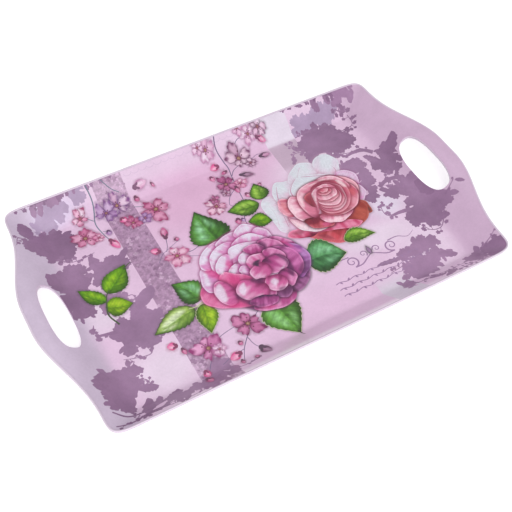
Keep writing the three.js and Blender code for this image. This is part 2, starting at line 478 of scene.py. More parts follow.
def ragged(outline, depth, seed):
    """Frays an outline with small lobes, as petals' and leaves' shadows have."""
    p = resampled(outline, FRAY_SPACING)
    t = np.arange(len(p)) / len(p)
    lobes = max(len(p) // 7, 6)
    shift = depth * (1.5 * wave(t, seed, lobes, 0.25) + 0.5 * np.abs(wave(t, seed + 7, lobes * 2, 0.0)))
    return p + normals(p) * shift[:, None]


def shade(depth):
    """The silhouettes' ink: 0 is light, 1 deep, with a slow drift in tone."""

    def colour(p):
        drift = 0.12 * np.sin(p[:, 0] / 17 + p[:, 1] / 23) + 0.1 * np.sin(p[:, 1] / 11 - p[:, 0] / 31)
        return tint(MAUVE, MAUVE_DEEP, np.clip(depth + drift, 0, 1))

    return colour


def shadow(points, seed, depth=0.5, fray=1.0, tone=None):
    """A silhouette of foliage: a frayed patch with petals and leaves round its edge."""
    tone = tone if tone is not None else shade(depth)
    rng = np.random.default_rng(seed)
    patch = spline(points)
    lay(ragged(patch, fray, seed), tone, SILHOUETTE)
    edge = resampled(patch, 5.2)
    out = widened(edge, 1.0) - edge
    for i, (at, way) in enumerate(zip(edge, out)):
        turn = math.degrees(math.atan2(way[1], way[0]))
        draw = rng.random()
        if draw < 0.56:
            size = rng.uniform(2.8, 6.2)
            spot = at + way * rng.uniform(-1.5, 1.2)
            lay(rosette(spot, size, int(rng.integers(5, 9)), seed + i, 0.22), tone, SILHOUETTE)
        elif draw < 0.84:
            length = rng.uniform(5, 12)
            base = at - way * 2
            tip = base + polar(turn + rng.uniform(-60, 60), length)
            shadow_leaf(base, tip, length * rng.uniform(0.45, 0.7), seed * 50 + i, tone=tone, points=12)
        elif draw < 0.92:
            deep = at + polar(turn + 180 + rng.uniform(-50, 50), rng.uniform(3, 6))
            width = rng.uniform(1.2, 2.6)
            shadow_leaf(at + way * 2, deep, width, seed * 50 + i, tone=ground_colour, points=8)


def shadow_leaf(base, tip, width, seed, depth=0.5, tone=None, points=16):
    """A silhouette of a toothed leaf."""
    base, axis, _, _, side = axis_of(base, tip)
    t = np.linspace(0, 1, points)
    tooth = np.random.default_rng(seed).uniform(0.82, 1.2, points)
    half = 1.35 * width * t**0.6 * (1 - t) ** 0.9 * tooth
    middle = base + t[:, None] * axis
    outline = np.vstack([middle + half[:, None] * side, (middle - half[::-1][:, None] * side)[::-1][1:-1]])
    kind = PLAIN if tone is ground_colour else SILHOUETTE
    lay(outline, tone if tone is not None else shade(depth), kind)


def shadow_sprig(route, berries, size, seed, depth):
    """A thin twig with small round berries on short stalks on both sides."""
    path = spline(route, 10, closed=False)
    ribbon(path, 1.2, 0.7, shade(depth), SILHOUETTE)
    rng = np.random.default_rng(seed)
    for i in range(berries):
        at = path[int((i + 0.5) / berries * (len(path) - 1))]
        reach = polar(rng.uniform(0, 360), rng.uniform(0.8, 1.9) * size)
        spot = at + reach
        ribbon(np.array([at, (at + spot) / 2, spot]), 0.7, 0.5, shade(depth), SILHOUETTE)
        berry = rosette(spot, size * rng.uniform(0.55, 1.0), 5, seed + i, 0.25)
        lay(berry, shade(depth), SILHOUETTE)


def ribbon(path, start_width, end_width, colour, kind=PLAIN):
    """A line of tapering width along a path."""
    path = np.asarray(path, float)
    along = np.gradient(path, axis=0)
    along /= np.maximum(np.linalg.norm(along, axis=1, keepdims=True), 1e-9)
    side = np.column_stack([-along[:, 1], along[:, 0]])
    half = np.linspace(start_width, end_width, len(path))[:, None] / 2
    lay(np.vstack([path + side * half, (path - side * half)[::-1]]), colour, kind)


def shadow_strand(route, start, end, depth):
    """A silhouette of a stalk or a thin leaf."""
    ribbon(spline(route, 8, closed=False), start, end, shade(depth), SILHOUETTE)


def lay_left_silhouettes():
    light = tint(MAUVE_LIGHT, MAUVE, 0.15)
    shadow("-193,118 -178,140 -160,147 -157,134 -166,126 -176,118", 30, tone=light, fray=1.0)
    shadow("-150,147 -146,137 -134,133 -131,147", 31, tone=light)
    shadow("-190,147 -186,141 -168,141 -160,144 -158,149", 32, 0.3)
    shadow("-208,101 -202,110 -190,115 -176,114 -167,106 -164,92 -167,82 -178,76 -190,77 -199,85 "
           "-206,93", 33, 0.72)
    shadow_leaf((-201, 108), (-208, 131), 14, 34, 0.85)
    shadow_sprig("-194,144 -176,143 -160,144 -140,144", 16, 2.6, 97, 0.8)
    shadow_sprig("-228,138 -212,143 -196,143", 9, 2.4, 98, 0.7)
    shadow_sprig("-150,144 -125,144 -100,143", 14, 2.8, 99, 0.5)
    shadow_sprig("-206,104 -214,110 -219,99", 6, 2.6, 35, 0.8)
    shadow_sprig("-184,78 -178,70 -164,68 -150,70", 12, 2.8, 36, 0.5)
    shadow("-199,46 -195,60 -186,57 -180,63 -168,58 -166,46 -173,36 -176,20 -180,0 -191,-3 -201,2 "
           "-201,30", 37, 0.6)
    shadow_leaf((-198, 34), (-205, 59), 14, 38, 0.7)
    shadow_leaf((-152, 36), (-158, 68), 13, 39, 0.45)
    shadow("-163,38 -158,50 -148,50 -140,56 -129,50 -124,40 -134,34 -148,30 -158,28", 40, 0.4)
    shadow_leaf((-134, 44), (-118, 62), 8, 41, 0.45)
    shadow("-167,6 -160,12 -146,8 -142,-6 -156,-12 -166,-6", 42, 0.35)
    shadow_sprig("-146,2 -138,2 -136,-4", 3, 2.4, 43, 0.4)
    shadow("-171,-34 -160,-24 -150,-24 -141,-14 -132,-20 -124,-30 -120,-38 -130,-48 -136,-57 -146,-61 "
           "-158,-58 -170,-58 -169,-46", 44, 0.4)
    shadow_leaf((-140, -18), (-116, 4), 15, 45, 0.5)
    shadow_strand("-168,-32 -178,-30 -186,-28", 5, 2.5, 0.5)
    shadow_sprig("-182,-30 -188,-24 -186,-14", 11, 3.2, 46, 0.5)
    shadow_sprig("-146,-60 -150,-70 -164,-68 -176,-64", 10, 2.6, 47, 0.45)
    shadow("-200,-78 -196,-73 -188,-73 -184,-77 -172,-71 -166,-80 -172,-90 -176,-96 -183,-100 -184,-112 "
           "-192,-118 -203,-115 -208,-104 -204,-94 -200,-88", 48, 0.55)
    shadow_leaf((-201, -72), (-209, -94), 15, 49, 0.65)
    shadow_leaf((-178, -100), (-158, -105), 10, 50, 0.5)
    shadow_sprig("-172,-90 -166,-94 -164,-100", 6, 2.4, 51, 0.5)
    shadow_leaf((-180, -136), (-173, -112), 13, 52, 0.6)
    shadow_strand("-209,-119 -198,-126 -182,-129 -166,-126 -154,-124", 1.5, 4.0, 0.7)
    shadow_strand("-212,-136 -196,-138 -180,-135 -160,-136", 1.5, 4.0, 0.9)
    shadow_sprig("-206,-138 -190,-137 -172,-137 -156,-134", 16, 2.6, 52, 0.85)
    shadow_sprig("-196,-127 -180,-129 -166,-127", 10, 2.2, 55, 0.8)
    shadow_leaf((-168, -128), (-163, -115), 8, 56, 0.5)
    shadow("-158,-125 -148,-123 -142,-126 -140,-132 -148,-136 -157,-132", 54, 0.6, 1.4)
    shadow("-134,-128 -122,-126 -108,-122 -94,-122 -90,-131 -104,-137 -124,-137", 53, 0.45, 1.6)
    shadow("-114,-116 -106,-110 -95,-109 -90,-114 -92,-124 -106,-124", 57, 0.25, 1.3)
    shadow_sprig("-160,-138 -140,-140 -118,-138", 12, 2.2, 58, 0.7)
    shadow_sprig("-88,-128 -76,-130 -62,-128", 8, 1.8, 59, 0.4)


def lay_right_silhouettes():
    light = tint(MAUVE_LIGHT, MAUVE, 0.2)
    shadow("118,122 124,131 138,130 146,124 138,118", 60, tone=light)
    shadow("150,126 158,134 176,133 178,126 166,118 154,118", 61, tone=light)
    for base, tip, width in (
        ((152, 143), (160, 131), 9),
        ((170, 145), (176, 134), 9),
        ((176, 131), (190, 136), 8),
        ((184, 146), (190, 131), 11),
        ((196, 147), (203, 133), 12),
        ((206, 141), (200, 126), 8),
        ((130, 144), (142, 141), 4),
        ((192, 128), (182, 121), 6),
    ):
        shadow_leaf(base, tip, width, 62 + base[0], 0.35)
    shadow("188,147 186,141 194,137 203,139 206,147", 62, 0.3, 1.3)
    shadow_sprig("112,143 130,144 150,143", 12, 2.0, 94, 0.6)
    shadow_sprig("164,144 176,143 186,144", 14, 3.4, 95, 0.8)
    shadow_sprig("178,128 184,124 192,122", 8, 3.2, 96, 0.7)
    shadow("112,96 122,106 130,116 148,120 158,116 166,104 176,94 174,78 160,76 146,70 134,80 118,80 "
           "116,88", 63, 0.55)
    shadow_sprig("164,100 178,101 188,104 190,118", 12, 3.4, 64, 0.7)
    shadow_sprig("118,116 134,118 160,118", 10, 2.2, 65, 0.5)
    shadow_sprig("116,92 104,94 96,86", 13, 2.8, 66, 0.4)
    shadow_sprig("112,112 107,107 102,110", 7, 2.6, 67, 0.3)
    shadow_leaf((115, 86), (114, 66), 5, 68, 0.5)
    shadow_strand("146,74 152,64 164,64 176,62 184,54", 2, 6, 0.4)
    shadow_sprig("148,70 160,66 174,66 182,58", 14, 3.0, 69, 0.4)
    shadow("138,52 146,56 154,53 162,54 164,44 160,30 159,14 154,4 150,-6 142,-6 146,8 148,24 146,38 "
           "140,44", 70, 0.4)
    shadow("173,32 175,42 186,46 192,54 200,48 203,34 196,26 192,16 184,16 178,24", 71, 0.7)
    shadow_leaf((196, 36), (211, 60), 13, 72, 0.75)
    shadow_leaf((182, 40), (170, 54), 9, 73, 0.55)
    shadow_sprig("180,24 174,14 166,6 176,2", 12, 2.8, 74, 0.5)
    shadow_strand("160,6 174,10 186,8 188,2", 4, 7, 0.5)
    shadow("160,-8 168,-1 178,-4 186,2 195,5 202,-6 204,-26 210,-42 214,-50 208,-55 198,-56 194,-66 "
           "184,-67 172,-60 164,-56 164,-46 172,-38 172,-28 182,-24 180,-14 168,-14", 75, 0.55)
    shadow_leaf((196, -8), (203, -36), 12, 76, 0.85)
    shadow_strand("172,-38 160,-36 150,-36", 6, 3, 0.35)
    shadow_sprig("152,-36 144,-32 146,-20 156,-24", 15, 3.0, 77, 0.3)
    shadow_sprig("196,-64 186,-74 174,-72 170,-62", 9, 3.0, 78, 0.5)
    shadow_leaf((222, -42), (230, -49), 5, 79, 0.6)
    shadow_sprig("208,-46 214,-44 222,-40", 4, 2.0, 80, 0.7)
    shadow("126,-84 140,-80 150,-77 164,-79 172,-86 160,-92 144,-92 130,-91", 81, 0.3)
    shadow_leaf((128, -88), (96, -86), 6, 82, 0.25)
    shadow("118,-106 126,-100 140,-99 156,-98 168,-102 166,-109 154,-112 148,-118 136,-121 "
           "124,-118", 83, 0.25)
    shadow_leaf((160, -103), (180, -111), 9, 84, 0.4)
    shadow_sprig("136,-96 120,-98 104,-100", 8, 2.4, 85, 0.3)
    shadow("176,-129 182,-126 190,-123 197,-125 201,-131 196,-137 184,-134", 86, 0.4, 1.3)
    shadow("200,-130 206,-123 215,-124 221,-133 217,-143 204,-146 196,-140", 87, 0.6, 1.0)
    shadow_sprig("116,-128 134,-128 150,-131 172,-131", 18, 2.2, 90, 0.35)
    shadow_sprig("150,-138 170,-139 192,-141", 14, 2.4, 91, 0.5)
    shadow_leaf((128, -130), (146, -134), 6, 92, 0.4)
    shadow_leaf((158, -134), (140, -141), 6, 93, 0.3)
    shadow_sprig("200,-122 210,-120 218,-116", 4, 1.6, 88, 0.3)
    shadow("108,-118 114,-124 112,-132 106,-126", 89, 0.3, 1.0)


# ---- print: leaves ----------------------------------------------------------------------


def leaf(base, tip, width, greens, bend, fullness, light_side, glow, teeth, rim=None):
    """A rose leaf. greens are its dark, middle and light ink, and bend bows the midrib.

    fullness under 1 is widest near the base, light_side is the lit side of the midrib, glow
    is how far along the gleam lies, teeth how deep the edge is cut, and rim the ink round it.
    """
    base, axis, length, along, side = axis_of(base, tip)
    dark, middle, light = greens

    def half_width(t):
        t = np.clip(t, 0, 1)
        return width / 2 * np.sin(np.pi * t**fullness) ** 0.8 * (1 - 0.45 * t**3)

    def midrib(t):
        return bend * np.sin(np.pi * np.clip(t, 0, 1))

    def local(p):
        d = p - base
        t = d @ along / length
        return (d @ side - midrib(t)) / np.maximum(half_width(t), 0.5), t

    t = np.linspace(0, 1, 55)
    tooth = 1 + teeth * (2 * ((t * 8.98) % 1) - 1) * smooth(t / 0.12)
    spine = base + t[:, None] * axis
    left = spine + (midrib(t) + half_width(t) * tooth)[:, None] * side
    right = spine + (midrib(t) - half_width(t) * tooth)[:, None] * side
    outline = np.vstack([left, right[::-1][1:-1]])
    spine = spine + midrib(t)[:, None] * side

    def colour(p):
        across, t = local(p)
        facing = across * light_side
        brush = 0.5 + 0.5 * np.sin(26 * (t - 0.3 * np.abs(across)) + 4 * facing + length)
        c = tint(dark, middle, 0.15 + 0.85 * smooth(0.5 + 0.7 * facing + 0.3 * brush))
        gleam = np.exp(-(((facing - 0.35) / 0.26) ** 2) - ((t - glow) / 0.22) ** 2)
        gleam += 0.7 * np.exp(-(((facing + 0.42) / 0.2) ** 2) - ((t - glow - 0.08) / 0.16) ** 2)
        gleam += 0.6 * np.exp(-(((facing - 0.45) / 0.22) ** 2) - ((t - glow + 0.28) / 0.1) ** 2)
        c = tint(c, light, np.clip(gleam * (0.55 + 0.6 * brush), 0, 1))
        c = tint(c, dark, 0.8 * np.exp(-(((facing + 0.12) / 0.12) ** 2)) * (1.1 - t))
        edge = smooth((np.abs(across) - 0.6) / 0.4) + smooth((0.14 - t) / 0.14) + smooth((t - 0.8) / 0.2)
        return tint(c, LEAF_EDGE, 0.7 * np.clip(edge, 0, 1))

    soft_shadow(outline, 2.6, LEAF_SHADE, 0.45)
    if rim is not None:
        lay(widened(outline, 0.45), rim)
    lay(outline, colour, LEAF, lambda p: np.column_stack(local(p)), [np.vstack([spine, spine[::-1][1:-1]])])


FOREST = (ink(38, 80, 22), ink(84, 148, 44), ink(152, 210, 160))
MEADOW = (ink(50, 88, 14), ink(108, 158, 36), ink(170, 208, 90))
SPRING = (ink(76, 114, 4), ink(130, 174, 8), ink(172, 202, 44))
GRASS = (ink(52, 96, 4), ink(100, 156, 8), ink(146, 190, 26))
CELADON = (ink(28, 76, 38), ink(84, 150, 88), ink(136, 200, 150))
VARIEGATED = (ink(84, 128, 24), ink(160, 190, 88), ink(238, 248, 208))
JADE = (ink(46, 88, 18), ink(90, 150, 40), ink(156, 216, 138))
LEAF_RIM = ink(190, 196, 150)
LEAF_SHADE = ink(58, 60, 48)
LEAF_EDGE = ink(40, 58, 24)


def lay_left_twig():
    twig = ink(70, 84, 56)
    leaf((-159, 15), (-129, 41), 27, GRASS, -1, 0.8, 1, 0.45, 0.05)
    leaf((-163, 6), (-184, 32), 17, GRASS, 1, 0.8, -1, 0.5, 0.05)
    leaf((-167, 0), (-141, -8), 24, SPRING, -1, 0.8, 1, 0.5, 0.05)
    ribbon(spline("-132,36 -127,39 -122,41", 8, False), 1.6, 0.6, twig)
    ribbon(spline("-156,18 -161,12 -165,2 -168,-10 -163,-25", 8, False), 1.0, 1.8, twig)


def lay_rose_leaves():
    leaf((-31, 23), (-35, 70), 43, FOREST, 2, 0.5, 1, 0.5, 0.06, LEAF_SHADE)
    leaf((32, 48), (-3, 53), 23, MEADOW, 1, 0.85, -1, 0.5, 0.06, LEAF_SHADE)
    leaf((38, 52), (41, 76), 21, MEADOW, -1, 0.75, 1, 0.5, 0.08, LEAF_SHADE)
    leaf((10, 30), (33, 20), 20, GRASS, 2, 1.15, 1, 0.55, 0.08, LEAF_SHADE)
    leaf((-80, -36), (-98, -6), 29, FOREST, -3, 0.7, -1, 0.45, 0.08, LEAF_SHADE)
    leaf((-91, -43), (-138, -53), 25, VARIEGATED, -1, 0.75, -1, 0.6, 0.08, LEAF_SHADE)
    daub("-130,-50 -119,-42 -106,-38 -98,-41 -110,-47 -121,-50", ink(218, 232, 190), 0.75, 2.5)
    leaf((-81, -42), (-89, -77), 22, SPRING, 1, 0.8, 1, 0.4, 0.07, LEAF_RIM)
    ribbon(spline("-96,-41 -88,-42 -80,-40 -76,-42", 8, False), 0.8, 1.6, LEAF_RIM)
    leaf((-21, -70), (-13, -118), 42, JADE, 0, 0.74, -1, 0.55, 0.05, LEAF_RIM)
    ribbon(spline("-14,-114 -13,-120 -12,-124", 8, False), 1.4, 0.6, ink(66, 56, 52))


def lay_front_leaves():
    leaf((37, -46), (79, -55), 44, CELADON, 4, 0.78, 1, 0.55, 0.05, LEAF_RIM)
    leaf((86, -40), (120, -47), 19, MEADOW, 4, 0.8, 1, 0.6, 0.08, LEAF_RIM)


# ---- print: petals ----------------------------------------------------------------------

LOBE_POWER = 2.4  # how square a blossom petal's shoulders are
LOBE_RIPPLE = 0.24  # how uneven its rim is
LOBE_FOOT = 0.1  # how much of its reach its foot keeps


def lobe(heart, angle, half, reach, seed):
    """One petal of a small flower, seen from above: a round-shouldered wedge.

    Returns its outline and a function that gives, for points, how far across it they lie
    (-1 to 1), how far out (0 to 1), and how near its edge (1 at the edge).
    """
    power = LOBE_POWER
    limit = (1 - LOBE_FOOT**power) ** (1 / power)
    s = np.linspace(-limit, limit, 26)
    rim = reach * (1 - np.abs(s) ** power) ** (1 / power)
    rim = rim * (1 + LOBE_RIPPLE * wave((s + 1) / 2, seed, 4, 0.3) * (1 - s * s))
    theta = math.radians(angle) + math.radians(half) * s
    outline = heart + np.column_stack([np.cos(theta), np.sin(theta)]) * rim[:, None]

    def local(p):
        d = p - heart
        r = np.linalg.norm(d, axis=1) / reach
        turn = np.arctan2(d[:, 1], d[:, 0]) - math.radians(angle)
        across = (np.mod(turn + np.pi, 2 * np.pi) - np.pi) / math.radians(half)
        edge = (np.abs(across) ** power + r**power) ** (1 / power)
        return across, r, edge

    return outline, local


# ---- print: roses -----------------------------------------------------------------------

# Each tone is a petal's deep, middle and pale ink.
SNOW = (ink(180, 62, 132), ink(216, 140, 192), ink(222, 214, 232))
LILAC = (ink(166, 66, 136), ink(208, 130, 186), ink(222, 196, 222))
BLUSH = (ink(134, 34, 92), ink(200, 90, 150), ink(232, 178, 212))
HOT = (ink(140, 34, 88), ink(200, 78, 134), ink(226, 126, 174))
ROSE = (ink(92, 28, 76), ink(172, 66, 130), ink(222, 140, 190))
MAGENTA = (ink(76, 26, 74), ink(150, 56, 120), ink(206, 114, 176))
PLUM = (ink(62, 24, 58), ink(108, 50, 96), ink(160, 92, 146))
VIOLET = (ink(82, 36, 96), ink(146, 78, 148), ink(190, 132, 196))
CHALK = (ink(222, 184, 206), ink(220, 208, 224), ink(214, 219, 228))
RUST = (ink(92, 24, 28), ink(152, 54, 48), ink(184, 84, 72))
BRICK = (ink(92, 20, 32), ink(168, 52, 64), ink(214, 100, 114))
RUBY = (ink(112, 20, 52), ink(196, 62, 106), ink(232, 140, 174))
SALMON = (ink(122, 28, 56), ink(198, 92, 120), ink(243, 178, 196))
CORAL = (ink(140, 34, 62), ink(206, 102, 128), ink(246, 186, 202))
CREAM = (ink(142, 44, 80), ink(214, 124, 154), ink(246, 202, 218))
WINE = (ink(92, 22, 38), ink(146, 44, 58), ink(196, 88, 104))
PEARL = (ink(196, 100, 134), ink(226, 172, 192), ink(228, 214, 224))


def petal(points, tones, lit_side, lip, seed, under, bloom):
    """A painted petal: dark where it goes under the next, pale and rolled on its lit side.

    lit_side is the direction, in degrees, that the pale lip faces, and lip the lip's width.
    under is the strength of the petal's shadow, and bloom where its pale ink begins.
    """
    deep, middle, pale = tones
    outline = resampled(spline(points), 1.5)
    t = np.arange(len(outline)) / len(outline)
    outline = outline + normals(outline) * (1.1 * wave(t, seed + 1, 7, 0.3))[:, None]
    axis = polar(lit_side, 1)
    across = np.array([-axis[1], axis[0]])
    reach = outline @ axis
    low, span = reach.min(), np.ptp(reach)
    middle_point = outline.mean(0)
    a, b, c = np.random.default_rng(seed).uniform(0, 6.3, 3)

    def colour(p):
        t = (p @ axis - low) / span
        side = (p - middle_point) @ across / span
        brush = 0.1 * np.sin(11 * side + a) + 0.07 * np.sin(23 * side + b + 3 * t)
        brush += 0.05 * np.sin(8 * t + c)
        mix = tint(deep, middle, smooth((t + brush + 0.05) / 0.45))
        mix = tint(mix, pale, 0.95 * smooth((t + 1.4 * brush - bloom - 0.35 * side**2) / 0.5))
        d = edge_distance(outline, p)
        towards = smooth((t - 0.3) / 0.35)
        mix = tint(mix, middle, 0.4 * np.exp(-(((d - lip - 1.2) / 1.0) ** 2)) * towards)
        mix = tint(mix, pale + 0.08, (0.55 + 3 * brush) * np.exp(-((d / lip) ** 2)) * towards)
        return tint(mix, deep * 0.8, 0.8 * np.exp(-((d / 2.6) ** 2)) * smooth((0.45 - t) / 0.35))

    def grain(p):
        return np.column_stack([p @ across * 0.9, p @ axis])

    soft_shadow(outline, 3.4, deep * 0.7, under, lambda p: smooth(((p @ axis - low) / span + 0.1) / 0.4))
    lay(outline, colour, PETAL, grain, [widened(outline, -lip)])


def lay_petals(petals, seed, lip, under, bloom=0.3):
    """Lays petals over each other. Each is (points, tones, lit side)."""
    for i, (points, tones, lit_side) in enumerate(petals):
        petal(points, tones, lit_side, lip, seed + i, under, bloom)


def lay_mauve_rose():
    """A full rose with many petals, hot pink to plum, and lilac white where light falls."""
    lay_petals([
        # the outermost petals
        ("2,-60 14,-56 26,-54 34,-57 28,-66 18,-72 8,-74 2,-68", PLUM, 300),
        ("-47,-62 -44,-68 -36,-75 -24,-80 -12,-78 -14,-68 -30,-60", PLUM, 240),
        ("-38,-70 -32,-78 -20,-83 -8,-84 4,-80 8,-72 -2,-64 -20,-62", ROSE, 250),
        ("-78,-30 -79,-44 -70,-54 -58,-60 -44,-66 -33,-68 -30,-56 -46,-44 -60,-34 -68,-22", HOT, 215),
        ("-70,-32 -71,-20 -67,-8 -60,0 -52,2 -46,-14 -52,-28 -62,-35", LILAC, 170),
        ("-63,-3 -60,8 -53,16 -43,21 -32,23 -27,12 -38,2 -54,-8", SNOW, 140),
        ("-36,16 -29,23 -18,26 -7,25 -4,14 -20,6", LILAC, 110),
        ("-13,18 -9,26 0,31 8,28 13,18 4,8", SNOW, 90),
        ("6,16 14,19 21,12 22,3 20,-8 8,-8 2,6", LILAC, 50),
        ("18,0 28,-3 35,-11 39,-21 32,-32 20,-18", ROSE, 50),
        ("28,-14 38,-19 43,-28 44,-40 39,-50 31,-57 22,-60 16,-44 22,-26", VIOLET, 350),
        # the rings round the heart
        ("-53,-10 -51,3 -45,11 -35,16 -22,16 -14,8 -26,0 -38,-6 -46,-18", SNOW, 135),
        ("-22,8 -15,15 -4,17 6,14 13,7 17,-2 10,-10 -4,-2", SNOW, 75),
        ("-34,-10 -31,0 -26,7 -16,9 -4,6 7,1 8,-8 -6,-12 -20,-12", SNOW, 115),
        ("4,0 12,2 20,-2 26,-10 27,-22 16,-28 4,-16", ROSE, 55),
        ("12,-14 23,-14 31,-22 35,-34 32,-48 23,-56 12,-60 8,-50 16,-36", MAGENTA, 20),
        ("-51,-14 -47,-4 -39,2 -31,2 -29,-7 -34,-17 -42,-23 -49,-21", SNOW, 140),
        ("-25,-12 -21,-6 -14,-3 -9,-6 -10,-14 -16,-20 -23,-19", SNOW, 150),
        ("-40,-20 -36,-15 -29,-13 -25,-19 -29,-27 -36,-27", SNOW, 150),
        ("-30,-24 -27,-19 -21,-20 -19,-27 -22,-33 -28,-32", LILAC, 160),
        ("-14,-2 -7,2 3,-1 8,-8 2,-15 -8,-12", ROSE, 80),
        ("-19,-18 -13,-12 -3,-12 5,-16 4,-26 -6,-28 -17,-27", BLUSH, 110),
        ("3,-12 12,-12 19,-18 22,-28 14,-36 4,-30", ROSE, 40),
        # the petals in front
        ("-52,-22 -44,-17 -36,-24 -28,-29 -22,-38 -32,-44 -44,-42 -51,-34", HOT, 80),
        ("-65,-36 -61,-28 -54,-25 -48,-30 -44,-42 -48,-56 -58,-57 -64,-48", BLUSH, 180),
        ("-2,-22 8,-21 16,-25 21,-33 17,-41 6,-44 -2,-41 -6,-32", ROSE, 310),
        ("-22,-30 -14,-25 -4,-24 1,-32 -2,-41 -12,-45 -20,-40", BLUSH, 215),
        ("3,-45 12,-43 18,-48 19,-57 12,-64 3,-66 -2,-56", ROSE, 310),
        ("-10,-62 -2,-58 6,-62 6,-70 -2,-75 -10,-71", PLUM, 250),
        ("-24,-44 -14,-42 -8,-50 -8,-62 -15,-69 -25,-62", ROSE, 250),
        ("-15,-50 -8,-44 2,-45 8,-53 5,-62 -4,-65 -13,-60", BLUSH, 235),
        ("-45,-47 -41,-38 -32,-35 -22,-41 -14,-50 -15,-60 -25,-66 -35,-63 -43,-56", BLUSH, 205),
        ("-40,-64 -30,-60 -18,-63 -10,-70 -18,-76 -32,-73", MAGENTA, 250),
    ], 100, 1.1, 0.7, 0.42)
    for most, points in (
        (0.8, "10,-20 18,-22 23,-34 22,-48 15,-58 11,-48 16,-36"),
        (0.7, "2,0 9,2 13,-6 8,-14 3,-10"),
        (0.7, "-50,-44 -44,-48 -38,-60 -30,-68 -40,-68 -48,-58"),
        (0.65, "-26,-34 -18,-40 -12,-44 -16,-50 -26,-44"),
        (0.6, "-6,-60 4,-62 10,-68 2,-74 -8,-70"),
        (0.6, "30,-44 42,-44 38,-54 28,-60 22,-52"),
        (0.5, "-30,-12 -26,-6 -24,-12 -29,-18"),
        (0.55, "-46,-64 -38,-66 -24,-72 -32,-76 -44,-70"),
        (0.5, "20,-8 26,-12 28,-24 22,-20"),
    ):
        daub(points, ink(84, 30, 78), most, 3.0)
    daubs("""
        -64,-8 -56,-4 -48,-16 -52,-26 -60,-18
        -62,-54 -50,-56 -42,-62 -50,-66 -62,-60
        -48,-24 -40,-20 -32,-30 -36,-40 -46,-34
        24,-6 33,-12 37,-24 30,-22
        -36,-72 -24,-74 -12,-80 -26,-81
        -40,-8 -32,-4 -32,-14 -38,-20
    """, ink(214, 60, 132), 0.6, 4.0)
    daubs("""
        -66,-40 -62,-30 -55,-27 -53,-36 -56,-50 -62,-52
        -50,-15 -46,-4 -37,2 -32,0 -38,-10 -46,-20
        -32,-6 -28,5 -20,9 -8,7 2,2 -12,0 -24,-6
        -24,-14 -20,-6 -14,-4 -15,-12 -20,-18
        -39,-21 -34,-15 -28,-14 -29,-20 -35,-25
        -29,-25 -25,-20 -22,-22 -24,-30
        -51,-2 -46,10 -36,15 -26,15 -38,8 -46,-2
        -12,14 0,17 9,12 14,3 4,9
        -62,2 -54,14 -42,20 -34,21 -46,12 -56,2
        -8,24 0,29 8,25 6,19 -4,19
        -44,-46 -39,-39 -32,-38 -34,-48 -40,-54
        -69,-22 -64,-8 -60,-12 -64,-28
        4,-41 13,-38 19,-33 13,-42
        -10,-50 -3,-47 0,-54 -7,-58
    """, ink(230, 220, 238), 0.72, 2.6)
    daubs("""
        28,-18 37,-22 41,-32 32,-32
        6,14 14,17 20,10 12,6
    """, ink(220, 120, 190), 0.6, 4.0)
    daub("-15,-21 -8,-19 -2,-21 -7,-24 -9,-29 -13,-26", ink(62, 36, 66), 0.95, 1.4)


def lay_salmon_rose_back():
    """The salmon rose's large outer petals, which the small leaves lie over."""
    lay_petals([
        ("33,4 33,26 32,42 39,50 48,51 53,38 52,22 47,6 40,-3", CHALK, 170),
        ("52,36 51,50 55,59 63,66 72,63 85,61 80,46 64,34", CHALK, 120),
        ("76,56 79,66 87,73 98,79 109,76 116,68 112,56 94,50", CHALK, 100),
        ("112,60 116,74 126,79 136,76 141,66 140,56 134,46 122,44", CHALK, 60),
        ("66,26 68,42 76,54 88,62 99,59 112,54 126,47 130,36 110,34 86,36", CHALK, 110),
        ("120,38 129,47 140,46 148,37 146,26 140,17 130,20 120,28", LILAC, 40),
        ("122,14 134,21 142,20 145,10 141,3 134,-3 124,-2 116,6", LILAC, 350),
        ("120,2 132,0 136,-8 135,-20 128,-20 119,-10", RUST, 330),
        ("80,-10 84,-18 94,-27 108,-32 121,-28 130,-20 134,-8 126,2 104,4", RUST, 300),
        ("55,-16 61,-26 70,-34 80,-42 90,-41 98,-30 90,-18 72,-10", BRICK, 230),
        ("66,-12 74,-20 86,-23 98,-28 108,-31 118,-27 109,-20 96,-14 80,-10", RUBY, 280),
        ("36,-8 43,-3 54,-5 64,-11 71,-16 62,-20 52,-18 42,-14", RUBY, 110),
        ("47,24 50,38 57,42 64,34 64,18 54,13", SALMON, 165),
    ], 300, 1.0, 0.32)
    for start, route in (
        (1.2, "52,34 54,44 58,54 61,60"),
        (1.2, "70,36 71,46 77,54 86,61"),
        (1.0, "88,61 92,66 98,73"),
        (1.0, "92,60 104,55 118,49"),
        (0.8, "128,44 132,52 130,62"),
        (0.7, "36,10 40,24 40,40"),
        (0.7, "44,4 47,20 48,34"),
    ):
        ribbon(spline(route, 8, False), start, 0.4, ink(196, 138, 168))
    daubs("""
        40,-6 50,-4 58,-8 50,-14
        62,-20 74,-22 80,-36 68,-30
    """, ink(120, 20, 48), 0.6, 3.5)
    daub("76,-26 82,-24 86,-34 79,-38", ink(214, 76, 92), 0.6, 3.0)
    daub("50,36 57,37 60,24 52,18", ink(208, 96, 110), 0.6, 3.0)
    daub("131,-14 135,-12 135,-21 130,-20", ink(70, 44, 46), 0.6, 2.0)
    daubs("""
        126,40 137,38 138,28 128,28
        130,12 140,10 137,0 128,2
    """, ink(214, 124, 182), 0.5, 4.0)
    daubs("""
        33,10 34,42 44,48 46,26 42,4
        57,46 58,60 68,62 70,48
        80,60 88,70 104,74 110,62 98,56
        120,56 122,72 134,72 134,54
        74,44 80,54 90,57 104,52 96,46
    """, ink(220, 224, 232), 0.7, 6.0)


